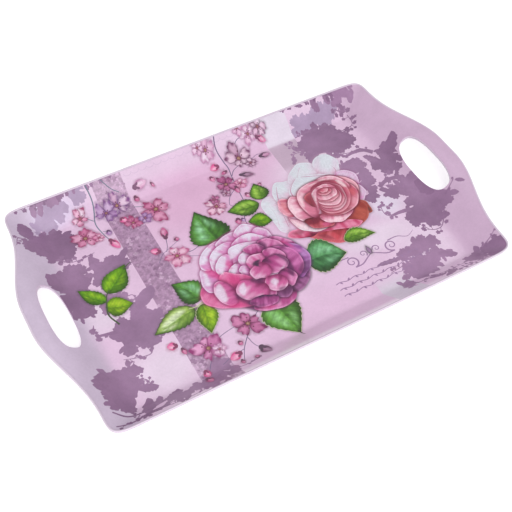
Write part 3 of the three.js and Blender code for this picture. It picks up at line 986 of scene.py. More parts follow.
def lay_salmon_rose():
    """The salmon rose's bowl: petals wrapped round each other, each with a pale lip."""
    lay_petals([
        # the petals outside the bowl
        ("116,46 128,42 138,31 141,20 136,8 126,-3 112,-6 108,20", CORAL, 20),
        ("50,15 54,10 60,4 68,-2 80,-4 85,-12 78,-17 66,-16 57,-10 51,0", PEARL, 230),
        ("57,14 57,28 63,37 70,39 80,26 82,6 74,-2 64,1 59,7", CREAM, 170),
        ("62,3 72,3 84,2 92,-8 87,-17 76,-15 66,-10", WINE, 260),
        ("80,0 82,-8 89,-14 99,-17 109,-14 117,-8 110,0 94,4", CREAM, 255),
        ("86,6 92,-3 102,-8 114,-8 126,-4 133,6 137,18 132,28 112,30 94,20", SALMON, 300),
        ("96,44 110,49 121,46 130,37 133,25 126,20 112,32", CREAM, 50),
        ("70,20 72,34 80,43 91,47 104,47 112,42 104,34 92,34 85,24 84,10 78,1 72,7", CREAM, 145),
        ("79,22 80,32 91,35 96,30 92,16 84,12", WINE, 60),
        # the bowl's rings
        ("87,8 92,-1 104,-5 117,-1 126,10 129,25 121,38 106,43 92,38 88,22", SALMON, 290),
        ("88,12 94,3 105,-1 116,4 122,15 123,29 114,39 101,42 92,37 89,24", CREAM, 300),
        ("89,15 95,6 106,2 116,8 120,18 119,30 111,38 99,40 92,35", SALMON, 275),
        ("90,19 96,10 106,6 115,12 118,21 117,31 108,37 98,39 92,33", CREAM, 265),
        ("91,22 97,15 107,13 115,17 117,25 113,34 105,38 96,37", SALMON, 262),
        ("91,27 95,19 104,17 114,20 116,28 110,35 103,38 95,36", CREAM, 265),
        ("95,31 99,25 107,24 112,29 109,35 103,37 97,36", SALMON, 270),
        ("98,33 102,28 107,28 109,32 106,36 101,36", CORAL, 300),
        ("93,30 96,36 104,39 113,36 118,27 111,32 104,35 98,34", CREAM, 90),
        ("82,5 85,8 88,17 92,27 99,36 94,36 88,30 86,18", PEARL, 150),
    ], 400, 1.0, 0.85, 0.4)
    for most, points in (
        (0.8, "66,1 76,2 83,-2 74,-8 63,-4"),
        (0.7, "80,30 90,33 88,20 82,14"),
        (0.5, "68,37 71,30 71,14 74,4 70,4 67,20"),
        (0.4, "97,28 103,26 110,28 106,24 99,25"),
        (0.4, "94,15 104,12 114,15 106,10 96,12"),
        (0.6, "90,-2 104,-5 120,-3 114,-9 98,-8"),
        (0.4, "121,34 125,26 124,14 121,18"),
        (0.4, "84,6 90,2 88,-6 82,-2"),
    ):
        daub(points, ink(118, 28, 54), most, 2.5)
    daub("84,2 100,-10 124,-6 136,10 134,28 124,32 121,12 106,-1",
         ink(190, 76, 100), 0.35, 6.0)
    daub("66,20 70,44 100,50 126,44 136,24 126,0 104,-12 80,-4",
         ink(206, 92, 114), 0.2, 8.0)
    daub("127,20 135,19 134,9 127,8", ink(208, 92, 102), 0.65, 3.5)
    daub("76,-9 84,-9 87,-15 78,-16", ink(216, 92, 144), 0.6, 2.5)
    daubs("""
        122,39 129,34 130,23 125,25
        71,18 72,32 77,38 76,24
        58,13 58,28 63,34 62,18
        51,12 56,5 62,-7 58,-9 52,-1
        94,23 104,19 115,22 112,17 98,18
        96,12 105,8 114,12 110,7 99,8
        98,5 106,2 114,5 108,0
        83,-6 92,-10 106,-13 96,-16 88,-13
        84,8 88,18 93,29 90,29 86,18
        84,43 96,46 106,45 96,42
        102,46 112,47 120,42 110,43
    """, ink(252, 222, 230), 0.7, 2.0)


# ---- print: blossoms, buds and stems ------------------------------------------------------

ROSE_PINKS = (ink(172, 66, 120), ink(218, 128, 172), ink(240, 206, 226))
HOT_PINKS = (ink(196, 52, 118), ink(226, 106, 162), ink(246, 196, 222))
PURPLES = (ink(112, 62, 128), ink(170, 116, 178), ink(218, 190, 222))
CRIMSONS = (ink(140, 44, 92), ink(196, 90, 142), ink(228, 168, 200))
FAINT_PINKS = (ink(180, 112, 160), ink(226, 176, 208), ink(240, 216, 236))
DUSKY_PINKS = (ink(104, 50, 90), ink(178, 116, 158), ink(230, 196, 218))
ORCHIDS = (ink(140, 44, 108), ink(184, 92, 150), ink(230, 164, 206))
DAMSONS = (ink(106, 26, 78), ink(168, 74, 130), ink(216, 138, 182))
DUNS = (ink(84, 50, 76), ink(142, 96, 128), ink(190, 150, 180))
STEM_INK = ink(120, 104, 136)


def blossom(centre, radius, colours, turn, seed):
    """A small five-petalled blossom: uneven petals with deep tips, and a dark throat."""
    centre = np.array(centre, float)
    rng = np.random.default_rng(seed)
    deep, middle, pale = colours
    for k in rng.permutation(5):
        angle = turn + 72 * k + rng.uniform(-12, 12)
        reach = radius * rng.uniform(0.78, 1.12)
        half = rng.uniform(34, 46)
        outline, local = lobe(centre, angle, half, reach, seed * 7 + int(k))
        tone = rng.uniform(0, 0.8)
        flip = rng.choice([-1, 1])

        def colour(p, local=local, flip=flip, tone=tone):
            across, r, edge = local(p)
            streak = 0.12 * np.sin(9 * across + 7 * tone)
            belly = smooth((r - 0.15) / 0.3) * (1 - smooth((r - 0.74 + streak) / 0.26))
            c = tint(middle, pale, (1.05 - tone) * belly)
            c = tint(c, deep, 0.85 * smooth((edge - 0.78 + streak) / 0.26))
            c = tint(c, deep, (0.25 + 0.5 * tone) * smooth(across * flip - 0.15))
            return tint(c, deep * 0.8, 0.95 * smooth((0.34 - r) / 0.2))

        def grain(p, local=local):
            across, r, _ = local(p)
            return np.column_stack([across * 9, r * radius])

        soft_shadow(outline, 1.2 + 0.05 * radius, deep * 0.7, 0.55)
        lay(outline, colour, PETAL, grain)
    lay(rosette(centre, radius * 0.17, 5, seed), ink(122, 92, 62))
    lay(rosette(centre, radius * 0.09, 4, seed + 1), ink(204, 184, 120))
    for k in range(6):
        spot = centre + polar(turn + 60 * k + rng.uniform(-14, 14), radius * rng.uniform(0.26, 0.46))
        ribbon(np.array([centre, (centre + spot) / 2, spot]), 0.4, 0.3, ink(158, 84, 118))
        lay(rosette(spot, radius * 0.04 + 0.25, 4, seed + k), ink(92, 40, 62))


def bud(base, tip, width, colours):
    """A closed bud that points from base to tip, in a small dark calyx."""
    base, axis, length, along, side = axis_of(base, tip)
    deep, middle, pale = colours
    calyx = tint(ink(92, 72, 92), deep, 0.3)

    def outline(start, end, swell, sharp):
        t = np.linspace(0, 1, 14)
        half = width / 2 * swell * np.sin(np.pi * t**sharp) ** 0.7
        spine = base + (start + (end - start) * t)[:, None] * axis
        left, right = spine + half[:, None] * side, spine - half[:, None] * side
        return np.vstack([left, right[::-1][1:-1]])

    def colour(p):
        across = (p - base) @ side / (width / 2)
        t = (p - base) @ along / length
        c = tint(middle, pale, np.exp(-(((across - 0.25) / 0.4) ** 2) - ((t - 0.55) / 0.3) ** 2))
        c = tint(c, deep, 0.85 * smooth((np.abs(across + 0.1) - 0.45) / 0.5))
        return tint(c, calyx, 0.7 * smooth((0.3 - t) / 0.25))

    whole = outline(0, 1, 1, 0.9)
    soft_shadow(whole, 1.6, deep * 0.6, 0.5)
    lay(whole, colour, PETAL, lambda p: np.column_stack([(p - base) @ side, (p - base) @ along]))
    lay(outline(-0.14, 0.2, 0.62, 1.1), calyx)
    for way in (-1, 1):
        sepal_tip = base + axis * 0.42 + side * way * width * 0.36
        shadow_leaf(base, sepal_tip, width * 0.3, 3, tone=calyx, points=8)


def stem(route, start, end, colour=STEM_INK):
    ribbon(spline(route, 10, closed=False), start, end, colour)


def lay_left_blossoms():
    grey_green = ink(112, 122, 140)
    stem("-128,147 -127,128 -134,106 -132,88 -128,74", 1.5, 0.9, grey_green)
    stem("-134,110 -141,118 -146,119", 0.9, 0.7, grey_green)
    stem("-113,147 -104,134 -96,128", 1.1, 0.7, grey_green)
    stem("-88,108 -80,104 -76,102", 0.9, 0.6, grey_green)
    stem("-131,92 -127,90 -126,88", 0.7, 0.5, grey_green)
    blossom((-104, 118), 13, (PURPLES[0], FAINT_PINKS[0], FAINT_PINKS[2]), 20, 3)
    blossom((-118, 114), 11.5, PURPLES, 50, 4)
    blossom((-151, 92), 15, CRIMSONS, 12, 5)
    blossom((-146, 119), 9, (CRIMSONS[0], HOT_PINKS[1], FAINT_PINKS[2]), 40, 6)
    blossom((-138, 86), 6, ROSE_PINKS, 70, 7)
    blossom((-69, 94), 17.5, CRIMSONS, 55, 8)
    blossom((-98, 88), 9.5, CRIMSONS, 30, 9)
    blossom((-84, 88), 7.5, PURPLES, 10, 10)
    blossom((-77, 25), 14, ROSE_PINKS, 25, 11)
    bud((-129, 78), (-124, 63), 8, HOT_PINKS)
    bud((-126, 91), (-126, 84), 6, PURPLES)
    bud((-107, 100), (-104, 93), 8, HOT_PINKS)
    bud((-79, 127), (-64, 129), 8, FAINT_PINKS)
    bud((-82, 120), (-80, 113), 6, CRIMSONS)
    bud((-60, 126), (-57, 122), 3, CRIMSONS)
    stem("-77,52 -80,42 -84,35", 0.8, 0.6)
    bud((-77, 52), (-74, 67), 8, CRIMSONS)
    bud((-70, 46), (-65, 45), 5, CRIMSONS)
    bud((-90, 38), (-98, 44), 8, HOT_PINKS)
    stem("-97,25 -90,33 -84,36 -72,41 -64,44", 0.6, 0.5)
    stem("-64,24 -58,24 -49,27", 0.9, 0.7)
    stem("-66,19 -56,14 -48,12", 0.6, 0.4)


def lay_near_blossoms():
    stem("-88,-86 -78,-83 -66,-81", 0.8, 0.6)
    stem("-44,-80 -38,-76 -32,-72", 0.8, 0.6)
    stem("-60,-96 -70,-108 -77,-122", 1.0, 0.6)
    stem("-61,-98 -59,-108 -54,-116", 0.8, 0.6)
    stem("-104,-105 -110,-114 -114,-120", 0.8, 0.5)
    stem("-70,-108 -84,-110 -96,-114", 0.7, 0.5)
    blossom((-100, -91), 15, ORCHIDS, 25, 12)
    blossom((-53, -84), 15.5, DAMSONS, 10, 13)
    blossom((-91, -97), 7, FAINT_PINKS, 60, 14)
    bud((-125, -74), (-134, -71), 9, HOT_PINKS)
    bud((-122, -79), (-121, -87), 5, CRIMSONS)
    bud((-75, -110), (-87, -113), 9, HOT_PINKS)
    bud((-71, -98), (-69, -103), 5, CRIMSONS)
    bud((-55, -113), (-50, -126), 10, DUNS)
    bud((-66, -128), (-64, -121), 5, CRIMSONS)
    bud((-114, -112), (-113, -121), 7, HOT_PINKS)
    bud((-117, -122), (-115, -132), 7, CRIMSONS)
    bud((-78, -118), (-79, -126), 4, CRIMSONS)


def lay_far_branch():
    stem("28,147 24,132 28,114 25,96 22,76 20,60", 1.4, 0.9)
    stem("26,98 32,105 44,110 58,112", 1.0, 0.6)
    stem("24,82 10,72 4,62 6,58", 0.8, 0.5)
    stem("40,124 52,134 66,132", 0.8, 0.5)
    stem("56,110 66,114 74,112", 0.7, 0.5)
    stem("10,40 8,34 7,27", 1.0, 0.7)
    blossom((12, 135), 11.5, FAINT_PINKS, 15, 15)
    blossom((4, 139), 8, FAINT_PINKS, 50, 16)
    blossom((66, 135), 10, FAINT_PINKS, 30, 17)
    blossom((80, 138), 9, (DUSKY_PINKS[0], FAINT_PINKS[1], FAINT_PINKS[2]), 0, 18)
    blossom((56, 143), 7, FAINT_PINKS, 70, 19)
    blossom((45, 118), 15, DUSKY_PINKS, 20, 20)
    blossom((54, 106), 7, DUSKY_PINKS, 20, 21)
    blossom((14, 90), 13.5, DAMSONS, 35, 22)
    blossom((29, 84), 8, ROSE_PINKS, 5, 23)
    blossom((-10, 66), 12, (CRIMSONS[0], ROSE_PINKS[1], ROSE_PINKS[2]), 60, 24)
    blossom((-8, 76), 6.5, DAMSONS, 10, 25)
    blossom((8, 78), 5, DUSKY_PINKS, 10, 26)
    bud((19, 118), (9, 117), 8, HOT_PINKS)
    bud((24, 108), (17, 105), 5, CRIMSONS)
    bud((35, 95), (49, 89), 7, DUNS)
    bud((68, 110), (80, 109), 8, (DUNS[0], DUSKY_PINKS[1], FAINT_PINKS[1]))
    bud((22, 82), (21, 72), 6, CRIMSONS)
    bud((27, 68), (29, 61), 6, ROSE_PINKS)
    bud((48, 74), (45, 70), 4, ROSE_PINKS)
    bud((4, 108), (5, 100), 6, ROSE_PINKS)
    bud((74, 130), (84, 124), 6, ROSE_PINKS)
    bud((2, 40), (0, 32), 7, CRIMSONS)
    bud((6, 38), (7, 33), 4, PURPLES)


# ---- print: flourish -------------------------------------------------------------------


def scroll(centre, radius, turns, start_deg, way, width, colour):
    """A spiral stroke that thins towards its eye."""
    t = np.linspace(0, 1, int(30 * turns))
    angle = math.radians(start_deg) + way * 2 * np.pi * turns * t
    r = radius * (1 - 0.85 * t)
    path = np.array(centre) + np.column_stack([np.cos(angle), np.sin(angle)]) * r[:, None]
    ribbon(path, width, width * 0.45, colour)


def lay_flourish():
    """An ornament of scrolls over three plain vines. It has no letters in it."""
    tone = ink(158, 124, 162)
    for way in (-1, 1):
        scroll((101 - 24 * way, -69), 7.5, 1.4, -90, way, 1.9, tone)
        scroll((101 - 8 * way, -65), 4.5, 1.2, 240 + 60 * way, way, 1.4, tone)
        wing = [(101 - 24 * way, -76.5), (101 - 15 * way, -76), (101 - 6 * way, -71), (101, -68)]
        ribbon(spline(wing, 10, False), 1.6, 1.2, tone)
        tail = [(101 + 24 * way, -62), (101 + 36 * way, -62), (101 + 46 * way, -67), (101 + 56 * way, -63)]
        ribbon(spline(tail, 8, False), 1.4, 0.4, tone)
    leaf((101, -69), (101, -57), 5.5, (tone * 0.85, tone, tone * 1.1), 0, 0.8, 1, 0.5, 0)
    for row, length in enumerate((100, 112, 82)):
        y = -86 - 8 * row
        x = np.linspace(47, 47 + length, int(length / 1.5))
        vine = np.column_stack([x, y + 0.9 * np.sin((x - 47) / 2.9)])
        ribbon(vine, 1.0, 0.7, tone)
        for i, at in enumerate(vine[3::6]):
            way = 1 if i % 2 else -1
            shadow_leaf(at, at + (2.6, 3.0 * way), 1.9, i, tone=tone, points=8)


def lay_print():
    """All of the print, from the ground up to what lies over everything else."""
    lay_ground()
    lay_bands()
    lay_left_silhouettes()
    lay_right_silhouettes()
    lay_flourish()
    lay_far_branch()
    lay_left_blossoms()
    lay_near_blossoms()
    lay_salmon_rose_back()
    lay_rose_leaves()
    lay_salmon_rose()
    lay_front_leaves()
    lay_mauve_rose()
    lay_left_twig()


# ---- plan meshes ------------------------------------------------------------------------


def hexagonal(spacing, low, high):
    """Loose points in a triangular pattern that fills a rectangle."""
    y = np.arange(low[1], high[1], spacing * 0.866)
    x = np.arange(low[0], high[0], spacing)
    grid_x, grid_y = np.meshgrid(x, y)
    grid_x = grid_x + (np.arange(len(y)) % 2 * spacing / 2)[:, None]
    return np.column_stack([grid_x.ravel(), grid_y.ravel()])


def on_floor(points, margin):
    """Which points lie over the flat floor, a margin or more from its edges."""
    return (np.abs(points) < (FLOOR_HALF_LENGTH - margin, FLOOR_HALF_WIDTH - margin)).all(1)


def triangulated(points, edges, tolerance):
    """Delaunay triangles through all edges. Crossing edges get a new point."""
    flat = [Vector(p) for p in points]
    pairs = [(int(a), int(b)) for a, b in edges]
    found = delaunay_2d_cdt(flat, pairs, [], 0, tolerance, False)
    return np.array([tuple(p) for p in found[0]]), np.array(found[2])


def loop_edges(count, start=0):
    i = np.arange(count)
    return np.column_stack([i, (i + 1) % count]) + start


def region_mesh(outer, holes, loose, tolerance=0.002, extra=None):
    """Triangles inside an outline and outside its holes, through the loose points.

    extra is (points, edges) of lines that the triangles follow. Points closer than the
    tolerance become one.
    """
    points, edges = [outer], [loop_edges(len(outer))]
    for hole in holes:
        edges.append(loop_edges(len(hole), sum(map(len, points))))
        points.append(hole)
    if extra is not None:
        edges.append(np.asarray(extra[1]) + sum(map(len, points)))
        points.append(extra[0])
    keep = np.zeros(len(loose), bool)
    keep[within(grown(outer, -0.4), loose)] = True
    for hole in holes:
        keep[within(grown(hole, 0.4), loose)] = False
    points.append(loose[keep])
    found, triangles = triangulated(np.vstack(points), np.vstack(edges), tolerance)
    middle = found[triangles].mean(1)
    kept = np.zeros(len(triangles), bool)
    kept[within(outer, middle)] = True
    for hole in holes:
        kept[within(hole, middle)] = False
    return found, triangles[kept]


def border_loops(triangles):
    """Closed loops of the edges that only one triangle has, in the triangles' direction."""
    edges = np.vstack([triangles[:, [0, 1]], triangles[:, [1, 2]], triangles[:, [2, 0]]])
    known = {(a, b) for a, b in edges.tolist()}
    onward = {a: b for a, b in known if (b, a) not in known}
    loops = []
    while onward:
        start, at = onward.popitem()
        loop = [start]
        while at != start:
            loop.append(at)
            at = onward.pop(at)
        loops.append(np.array(loop))
    return loops


JOIN_GRID = 65536  # points that agree to one part in this of a millimetre are joined


class Shell:
    """Gathers the faces of one mesh, with a normal for each face's corner."""

    def __init__(self):
        self.points, self.faces, self.normals, self.count = [], [], [], 0

    def add(self, points, faces, point_normals):
        self.points.append(np.asarray(points, float))
        self.faces.append(np.asarray(faces) + self.count)
        self.normals.append(point_normals[np.asarray(faces)])
        self.count += len(points)

    def add_sheet(self, plan, triangles, height, downwards=False):
        """Lifts a plan mesh onto a height function of x and y."""
        x, y = plan[:, 0], plan[:, 1]
        dx, dy = slopes(height, x, y)
        normal = np.column_stack([-dx, -dy, np.ones_like(dx)])
        normal /= np.linalg.norm(normal, axis=1, keepdims=True)
        points = np.column_stack([x, y, height(x, y)])
        if downwards:
            self.add(points, triangles[:, ::-1], -normal)
        else:
            self.add(points, triangles, normal)

    def add_strip(self, loops):
        """Joins closed loops of equal length, in order, with one smooth surface."""
        loops = np.asarray(loops, float)
        across = np.gradient(loops, axis=0)
        around = np.roll(loops, -1, 1) - np.roll(loops, 1, 1)
        normal = np.cross(across, around)
        normal /= np.maximum(np.linalg.norm(normal, axis=2, keepdims=True), 1e-12)
        rows, count = loops.shape[:2]
        i = np.arange(count)
        j = (i + 1) % count
        quads = []
        for row in range(rows - 1):
            a, b = row * count, (row + 1) * count
            quads.append(np.column_stack([a + i, b + i, b + j, a + j]))
        self.add(loops.reshape(-1, 3), np.vstack(quads), normal.reshape(-1, 3))

    def mesh(self, name):
        """The mesh, in metres, with its matching points joined."""
        points = np.vstack(self.points)
        _, first, joined = np.unique(
            np.round(points * JOIN_GRID).astype(np.int64), axis=0, return_index=True, return_inverse=True
        )
        joined = joined.ravel()
        faces, corner_normals = [], []
        for part, normal in zip(self.faces, self.normals):
            faces.extend(joined[part].tolist())
            corner_normals.append(normal.reshape(-1, 3))
        used, faces_flat = np.unique(np.concatenate([np.ravel(f) for f in faces]), return_inverse=True)
        sizes = [len(f) for f in faces]
        starts = np.concatenate([[0], np.cumsum(sizes)])
        faces = [faces_flat[a:b].tolist() for a, b in zip(starts, starts[1:])]
        made = bpy.data.meshes.new(name)
        made.from_pydata((points[first][used] * MM).tolist(), [], faces)
        made.shade_smooth()
        made.normals_split_custom_set(np.vstack(corner_normals).tolist())
        return made


def lifted(outline, height):
    return np.column_stack([outline, height(outline[:, 0], outline[:, 1])])


def on_dish(rise):
    return lambda x, y: FLOOR_TOP + rise + dish_height(x, y)


def under_dish(x, y):
    return FLOOR_TOP + dish_height(x, y) - WALL_THICKNESS * steepness(x, y)


def piece(name, mesh, slot, *replaced):
    made = bpy.data.objects.new(name, mesh)
    bpy.context.scene.collection.objects.link(made)
    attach(made, "root")
    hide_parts(*replaced)
    return made


# ---- the moulding ------------------------------------------------------------------------

FLOOR_SPACING = 14  # of the moulding's loose points where it is flat
CURVE_SPACING = 3.0  # and where it curves
EDGE_ROLL = 0.8  # radius of the slots' and the underside's soft edges
PRINT_EDGE = LIP_WIDTH + 0.06
SLOT_TOP_MARGIN = SKIN_SLOT_MARGIN + 0.1
# The rim's rounded underside: how far in from the rim, and how far above the wall's underside.
RIM_UNDERSIDE = ((0.0, 0.75), (0.04, 0.5), (0.16, 0.22), (0.36, 0.06), (0.6, 0.0))
LIP_FLAT = 0.55  # the share of the lip's width from the rim in to where the lip is level
FOOT_EDGE = 0.8  # radius of the foot ring's rounded base
FOOT_TURN = 1.57  # a right angle, rounded down


def quarter_round(radius):
    """(how far along, how far down) points of a soft edge that turns from level to upright."""
    angle = np.linspace(0, np.pi / 2, 5)
    return [(radius * math.sin(a), radius * (1 - math.cos(a))) for a in angle]


def lip_loops(rim):
    """The rim's lip and its outer edge, from the print's edge round to the underside."""
    section = [(LIP_WIDTH, 0.0)]
    for a in np.linspace(0.15, 1, 7) * np.pi / 2:
        section.append((LIP_WIDTH * (LIP_FLAT + 0.45 * math.cos(a)), LIP_HEIGHT * math.sin(a)))
    for a in np.linspace(0.2, 1, 7) * np.pi / 2:
        across = LIP_WIDTH * LIP_FLAT * (1 - math.sin(a))
        section.append((across, LIP_HEIGHT - (LIP_HEIGHT + LIP_DROP) * (1 - math.cos(a))))
    loops = [lifted(grown(rim, -inset), on_dish(PRINT_RISE + rise)) for inset, rise in section]
    for inset, rise in RIM_UNDERSIDE:
        edge = grown(rim, -inset)
        loops.append(lifted(edge, under_dish) + (0, 0, rise))
    return loops


def slot_loops(side):
    """A slot's wall, from its top edge down to its bottom edge."""
    loops = []
    for inset, drop in quarter_round(SLOT_TOP_MARGIN):
        outline = slot_outline(side, SLOT_TOP_MARGIN - inset)
        loops.append(lifted(outline, on_dish(0)) - (0, 0, drop))
    for inset, rise in quarter_round(EDGE_ROLL)[::-1]:
        outline = slot_outline(side, EDGE_ROLL - inset)
        loops.append(lifted(outline, under_dish) + (0, 0, rise))
    return [loop[::-1] for loop in loops]


def build_moulding():
    shell = Shell()
    rim = rim_outline()
    sides = (-1, 1)
    inner = grown(rim, -LIP_WIDTH)
    top_holes = [slot_outline(side, SLOT_TOP_MARGIN) for side in sides]
    floor_points = hexagonal(FLOOR_SPACING, (-180, -112), (180, 112))
    loose = hexagonal(CURVE_SPACING, PLAN_LOW, PLAN_HIGH)
    loose = np.vstack([floor_points, loose[~on_floor(loose, 2)]])
    plan, triangles = region_mesh(inner, top_holes, loose)
    shell.add_sheet(plan, triangles, on_dish(0))

    loops = lip_loops(rim)
    shell.add_strip([lifted(inner, on_dish(0)), loops[0]])
    shell.add_strip(loops)
    for side in sides:
        shell.add_strip(slot_loops(side))

    low_holes = [slot_outline(side, EDGE_ROLL) for side in sides]
    half = np.array([FLOOR_HALF_LENGTH, FLOOR_HALF_WIDTH]) - FOOT_INSET
    foot = rounded_rectangle(*half, FOOT_CORNER_RADIUS)
    foot_inner = grown(foot, -FOOT_WIDTH)
    plan, triangles = region_mesh(grown(rim, -RIM_UNDERSIDE[-1][0]), [*low_holes, foot], loose)
    shell.add_sheet(plan, triangles, under_dish, downwards=True)
    plan, triangles = region_mesh(foot_inner, [], floor_points)
    shell.add_sheet(plan, triangles, under_dish, downwards=True)
    shell.add_strip(foot_loops(foot))
    return shell.mesh("moulding")


def foot_loops(foot):
    """The foot ring's section, from its outer wall under its base to its inner wall."""
    section = [(0.0, FOOT_HEIGHT), (0.15, 1.0)]
    for a in np.linspace(0, FOOT_TURN, 6):
        section.append((0.2 + FOOT_EDGE * (1 - math.cos(a)), FOOT_EDGE * (1 - math.sin(a))))
    section += [(FOOT_WIDTH - inset, z) for inset, z in section[::-1]]
    return [lifted(grown(foot, -inset), lambda x, y, z=z: np.full_like(x, z)) for inset, z in section]


# ---- the printed sheet --------------------------------------------------------------------

COARSE_SPACING = 4.0  # of the print's loose points on the floor
WALL_SPACING = 2.8
BACK_SPACING = 5.0  # of those on its underside
PRINT_TOLERANCE = 0.01  # within which points of crossing outlines become one
BACK_TOLERANCE = 1e-5
# Where the ink's shading needs closer points: spacing, then the patch's middle and half size.
FINE_PATCHES = [
    (1.8, (-16, -29), (66, 60)),
    (1.8, (93, 18), (64, 64)),
    (2.0, (-30, 46), (30, 30)),
    (2.0, (20, 48), (34, 32)),
    (2.0, (-97, -40), (42, 40)),
    (2.0, (-16, -96), (28, 28)),
    (2.0, (78, -48), (48, 24)),
    (2.0, (-156, 14), (32, 30)),
]


def sheet_points():
    """Loose points for the print: close together where the dish curves or shades change."""
    coarse = hexagonal(COARSE_SPACING, PLAN_LOW, PLAN_HIGH)
    walls = hexagonal(WALL_SPACING, PLAN_LOW, PLAN_HIGH)
    coarse = coarse[on_floor(coarse, 3)]
    parts = [walls[~on_floor(walls, 3)]]
    for spacing, middle, half in FINE_PATCHES:
        middle, half = np.array(middle), np.array(half)
        inside = (((coarse - middle) / half) ** 2).sum(1) < 1
        coarse = coarse[~inside]
        fine = hexagonal(spacing, middle - half, middle + half)
        fine = fine[(((fine - middle) / half) ** 2).sum(1) < 1]
        for known in parts[1:]:
            fine = fine[~near_any(fine, known, spacing)]
        parts.append(fine)
    return np.vstack([*parts, coarse])


def near_any(points, others, spacing):
    """Which points share a cell of a grid with any of the others."""
    cells = {tuple(c) for c in np.floor(others / (2 * spacing)).astype(int).tolist()}
    mine = np.floor(points / (2 * spacing)).astype(int).tolist()
    return np.array([tuple(c) in cells for c in mine], bool)


def visible_edges():
    """Points and edges of the print's outlines, without what later shapes cover."""
    outlines, owners = [], []
    for i, shape in enumerate(PRINT):
        for line in shape["lines"]:
            outlines.append(line)
            owners.append(i)
    points = np.vstack(outlines)
    owner = np.repeat(owners, [len(o) for o in outlines])
    top = np.zeros(len(points), int)
    for i, shape in enumerate(PRINT):
        if shape["strength"] is None:
            top[within(shape["outline"], points)] = i
    covered = top > owner
    edges, start = [], 0
    for outline in outlines:
        edges.append(loop_edges(len(outline), start))
        start += len(outline)
    edges = np.vstack(edges)
    edges = edges[~(covered[edges[:, 0]] & covered[edges[:, 1]])]
    used = np.unique(edges)
    renumbered = np.zeros(len(points), int)
    renumbered[used] = np.arange(len(used))
    return points[used], renumbered[edges]


def build_print():
    lay_print()
    edge = grown(rim_outline(), -PRINT_EDGE)
    holes = [slot_outline(side, SKIN_SLOT_MARGIN) for side in (-1, 1)]
    plan, triangles = region_mesh(edge, holes, sheet_points(), PRINT_TOLERANCE, visible_edges())
    shell = Shell()
    shell.add_sheet(plan, triangles, on_dish(PRINT_RISE))
    colours, grains = painted(plan[triangles])

    base = FOIL_LOW - FLOOR_TOP
    loops = border_loops(triangles)
    walls = []
    for loop in loops:
        upper = lifted(plan[loop], on_dish(PRINT_RISE))
        lower = lifted(plan[loop], on_dish(base))
        shell.add_strip([upper, lower])
        walls.append(plan[loop])
    outer = max(range(len(loops)), key=lambda i: np.ptp(walls[i][:, 0]))
    rest = [w[::-1] for i, w in enumerate(walls) if i != outer]
    spread = hexagonal(BACK_SPACING, PLAN_LOW, PLAN_HIGH)
    low_plan, low_triangles = region_mesh(walls[outer], rest, spread, BACK_TOLERANCE)
    shell.add_sheet(low_plan, low_triangles, on_dish(base), downwards=True)

    made = shell.mesh("print")
    corners = len(made.loops)
    all_colours = np.tile(np.append(GROUND, 1.0), (corners, 1))
    all_grains = np.zeros((corners, 3))
    all_colours[: len(colours), :3] = colours
    all_grains[: len(grains)] = grains
    made.attributes.new("ink", "FLOAT_COLOR", "CORNER").data.foreach_set("color", all_colours.ravel())
    made.attributes.new("grain", "FLOAT_VECTOR", "CORNER").data.foreach_set("vector", all_grains.ravel())
    return made


def painted(triangles):
    """Colour and grain at each triangle's three corners, with all shapes laid in order."""
    middle = triangles.mean(1)
    corners = triangles.reshape(-1, 2)
    colours = np.zeros((len(corners), 3))
    grains = np.zeros((len(corners), 3))
    for shape in PRINT:
        strength = shape["strength"]
        if strength is None:
            at = (within(shape["outline"], middle)[:, None] * 3 + np.arange(3)).ravel()
        else:
            at = within(shape["outline"], corners)
        if not len(at):
            continue
        p = corners[at]
        colour = shape["colour"](p) if callable(shape["colour"]) else shape["colour"]
        if strength is None:
            colours[at] = colour
            grains[at, :2] = shape["grain"](p) if shape["grain"] else 0
            grains[at, 2] = shape["kind"]
        else:
            colours[at] = tint(colours[at], colour, strength(p))
    return colours, grains


# ---- materials -----------------------------------------------------------------------------


class Nodes:
    """A short way to write one material's nodes."""

    def __init__(self, name):
        self.material = bpy.data.materials.new(name)
        self.material.use_nodes = True
        self.tree = self.material.node_tree
        self.surface = self.tree.nodes["Principled BSDF"]

    def make(self, kind, **settings):
        made = self.tree.nodes.new("ShaderNode" + kind)
        for key, value in settings.items():
            setattr(made, key, value)
        return made

    def feed(self, socket, value):
        if hasattr(value, "links"):
            self.tree.links.new(value, socket)
        else:
            socket.default_value = value

    def math(self, operation, a, b=0.0):
        made = self.make("Math", operation=operation)
        self.feed(made.inputs[0], a)
        self.feed(made.inputs[1], b)
        return made.outputs[0]

    def noise(self, vector, scale, detail=2.0, roughness=0.5):
        made = self.make("TexNoise")
        self.feed(made.inputs["Vector"], vector)
        made.inputs["Scale"].default_value = scale
        made.inputs["Detail"].default_value = detail
        made.inputs["Roughness"].default_value = roughness
        return made.outputs["Fac"]

    def remap(self, value, low, high, to_low, to_high):
        made = self.make("MapRange")
        for socket, number in zip(made.inputs[1:5], (low, high, to_low, to_high)):
            socket.default_value = number
        self.feed(made.inputs[0], value)
        return made.outputs[0]

    def scaled(self, colour, factor):
        """colour times a number, as a vector sum."""
        made = self.make("VectorMath", operation="SCALE")
        self.feed(made.inputs[0], colour)
        self.feed(made.inputs["Scale"], factor)
        return made.outputs[0]

    def blended(self, factor, a, b):
        made = self.make("Mix", data_type="RGBA")
        self.feed(made.inputs[0], factor)
        self.feed(made.inputs[6], a)
        self.feed(made.inputs[7], b)
        return made.outputs[2]


